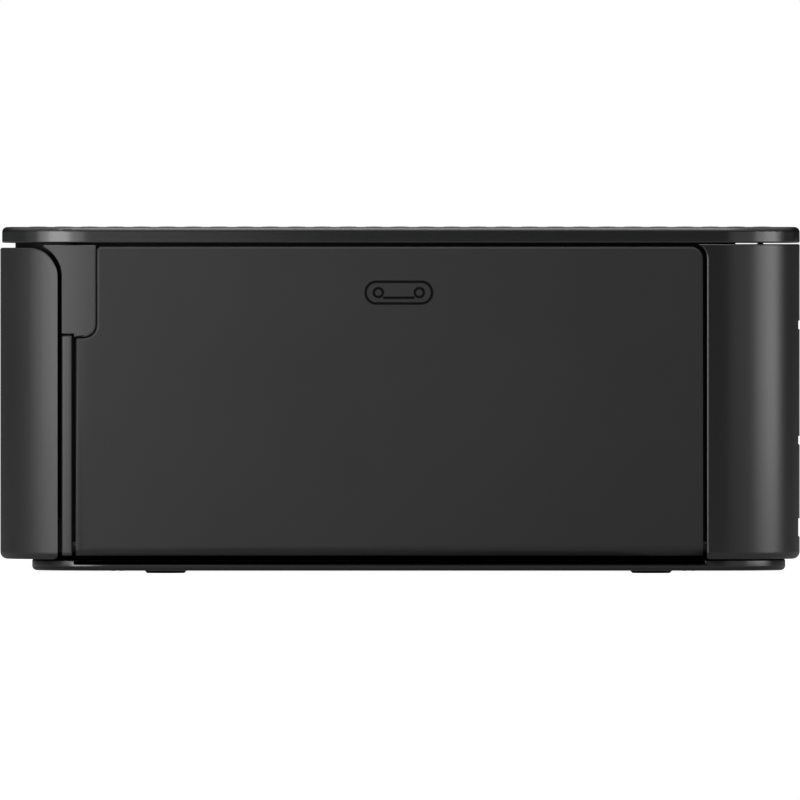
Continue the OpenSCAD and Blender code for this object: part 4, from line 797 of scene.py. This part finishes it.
# World's strength on matt surfaces, and the ceiling's in reflections with where it fades in
AMBIENT = 0.15
CEILING = 0.6
WALL_TOP, CEILING_EDGE = 0.25, 0.8


def floor_material():
    """Floor: white to the camera, dimmer in reflections, and it keeps the object's shadow."""
    t = Tree("floor_white", (FLOOR_TONE,) * 3, 1.0, specular=0.0)
    path = t.add("ShaderNodeLightPath").outputs
    mirrored = t.math("MAXIMUM", path["Is Glossy Ray"], path["Is Transmission Ray"])
    mirrored = t.math("MULTIPLY", mirrored, FLOOR_MIRRORED)
    seen = t.math("MULTIPLY", path["Is Camera Ray"], FLOOR_SEEN)
    t.set("Emission Color", (1, 1, 1, 1))
    t.drive("Emission Strength", t.math("ADD", mirrored, seen))
    return t.material


def studio_world():
    """White background; reflections darken from a pale ceiling towards the studio's low dark walls.

    Strength for reflections rises smoothly with the sine of the direction's elevation.
    """
    world = bpy.data.worlds.new("studio")
    world.use_nodes = True
    background = world.node_tree.nodes["Background"]
    background.inputs["Color"].default_value = (1, 1, 1, 1)

    def add(kind, inputs=None, **settings):
        return add_node(world.node_tree, kind, inputs, **settings).outputs

    height = add("ShaderNodeSeparateXYZ", {0: add("ShaderNodeTexCoord")["Generated"]})["Z"]
    fade = {"From Min": WALL_TOP, "From Max": CEILING_EDGE, "To Min": 0.0, "To Max": CEILING}
    walls = add("ShaderNodeMapRange", {"Value": height, **fade},
                interpolation_type="SMOOTHSTEP")["Result"]
    path = add("ShaderNodeLightPath")
    mirror = add("ShaderNodeMath", {0: path["Is Glossy Ray"], 1: path["Is Transmission Ray"]},
                 operation="MAXIMUM")[0]
    reflected = add("ShaderNodeMix", {"Factor": mirror, "A": AMBIENT, "B": walls})["Result"]
    strength = add("ShaderNodeMix", {"Factor": path["Is Camera Ray"], "A": reflected, "B": 1.0})
    world.node_tree.links.new(strength["Result"], background.inputs["Strength"])
    return world


def soft_box(name, centre, width, height, radiance, target=(0, 0, 0.03)):
    """Rectangular lamp that faces its target: its power is radiance times pi times its area."""
    light = bpy.data.lights.new(name, "AREA")
    light.shape = "RECTANGLE"
    light.size = width
    light.size_y = height
    light.energy = radiance * np.pi * width * height
    lamp = bpy.data.objects.new(name, light)
    lamp.location = centre
    lamp.rotation_euler = (Vector(target) - Vector(centre)).to_track_quat("-Z", "Y").to_euler()
    lamp.visible_camera = False
    bpy.context.collection.objects.link(lamp)
    return lamp


PANEL_H = 0.5
MIRRORED_H = 0.12
# Name, first and last azimuth in degrees from +X towards the back, distance in metres, radiance
STANDING_PANELS = [
    ("front_fade", -76, -60, 0.3, 0.2),
    ("front_wing", -60, -50, 0.3, 2.0),
    ("front_softbox", -50, -30, 0.3, 4.3),
    ("front_edge", -30, -18, 0.3, 1.5),
    ("front_spill", -18, -5, 0.3, 0.4),
    ("back_spill", 28, 56, 0.5, 0.4),
    ("back_wing", 56, 68, 0.5, 1.9),
    ("back_strip", 68, 86, 0.5, 2.9),
    ("back_fade", 86, 94, 0.5, 1.0),
]


def standing_panel(name, start, end, distance, radiance):
    """Upright panel on the floor that fills the azimuths from start to end, square to their middle.

    Only its lowest part shows in glossy surfaces, so the cover isn't white from low at the back.
    """
    mid = np.radians((start + end) / 2)
    x, y = distance * np.cos(mid), distance * np.sin(mid)
    width = 2 * distance * np.tan(np.radians((end - start) / 2))
    for part, low, high in (("low", 0, MIRRORED_H), ("high", MIRRORED_H, PANEL_H)):
        z = (low + high) / 2
        lamp = soft_box(name + "_" + part, (x, y, z), width, high - low, radiance, (0, 0, z))
        lamp.visible_glossy = part == "low"


floor = bpy.data.meshes.new("floor")
floor_corners = [(-FLOOR_HALF, -FLOOR_HALF, 0), (FLOOR_HALF, -FLOOR_HALF, 0),
                 (FLOOR_HALF, FLOOR_HALF, 0), (-FLOOR_HALF, FLOOR_HALF, 0)]
floor.from_pydata(floor_corners, [], [(0, 1, 2, 3)])
floor.materials.append(floor_material())
floor_object = bpy.data.objects.new("floor", floor)
bpy.context.collection.objects.link(floor_object)

bpy.context.scene.world = studio_world()
for panel in STANDING_PANELS:
    standing_panel(*panel)
soft_box("overhead_softbox", (0, 0, 1.2), width=0.9, height=0.9, radiance=1.2)
soft_box("rim_strip", (0.35, 0, 0.9), width=0.9, height=0.15, radiance=5.0, target=(0.09, 0, 0.057))

# Metres: the camera's distance and height, and the upright plane whose outline fills the frame
CAMERA_RANGE = 6.0
CAMERA_HEIGHT = 0.0535
OUTLINE_X = RIGHT * MM - 0.015
FRAME_HALF = 0.06655
FRAME_MIDDLE = Vector((OUTLINE_X, 0, 0.0288))
camera_data = bpy.data.cameras.new("camera")
camera = bpy.data.objects.new("camera", camera_data)
bpy.context.collection.objects.link(camera)
camera.location = (OUTLINE_X + CAMERA_RANGE, 0, CAMERA_HEIGHT)
camera.rotation_euler = (FRAME_MIDDLE - camera.location).to_track_quat("-Z", "Y").to_euler()
camera_data.angle = 2 * np.arctan(FRAME_HALF / CAMERA_RANGE)
bpy.context.scene.camera = camera
bpy.context.scene.view_settings.view_transform = "Standard"
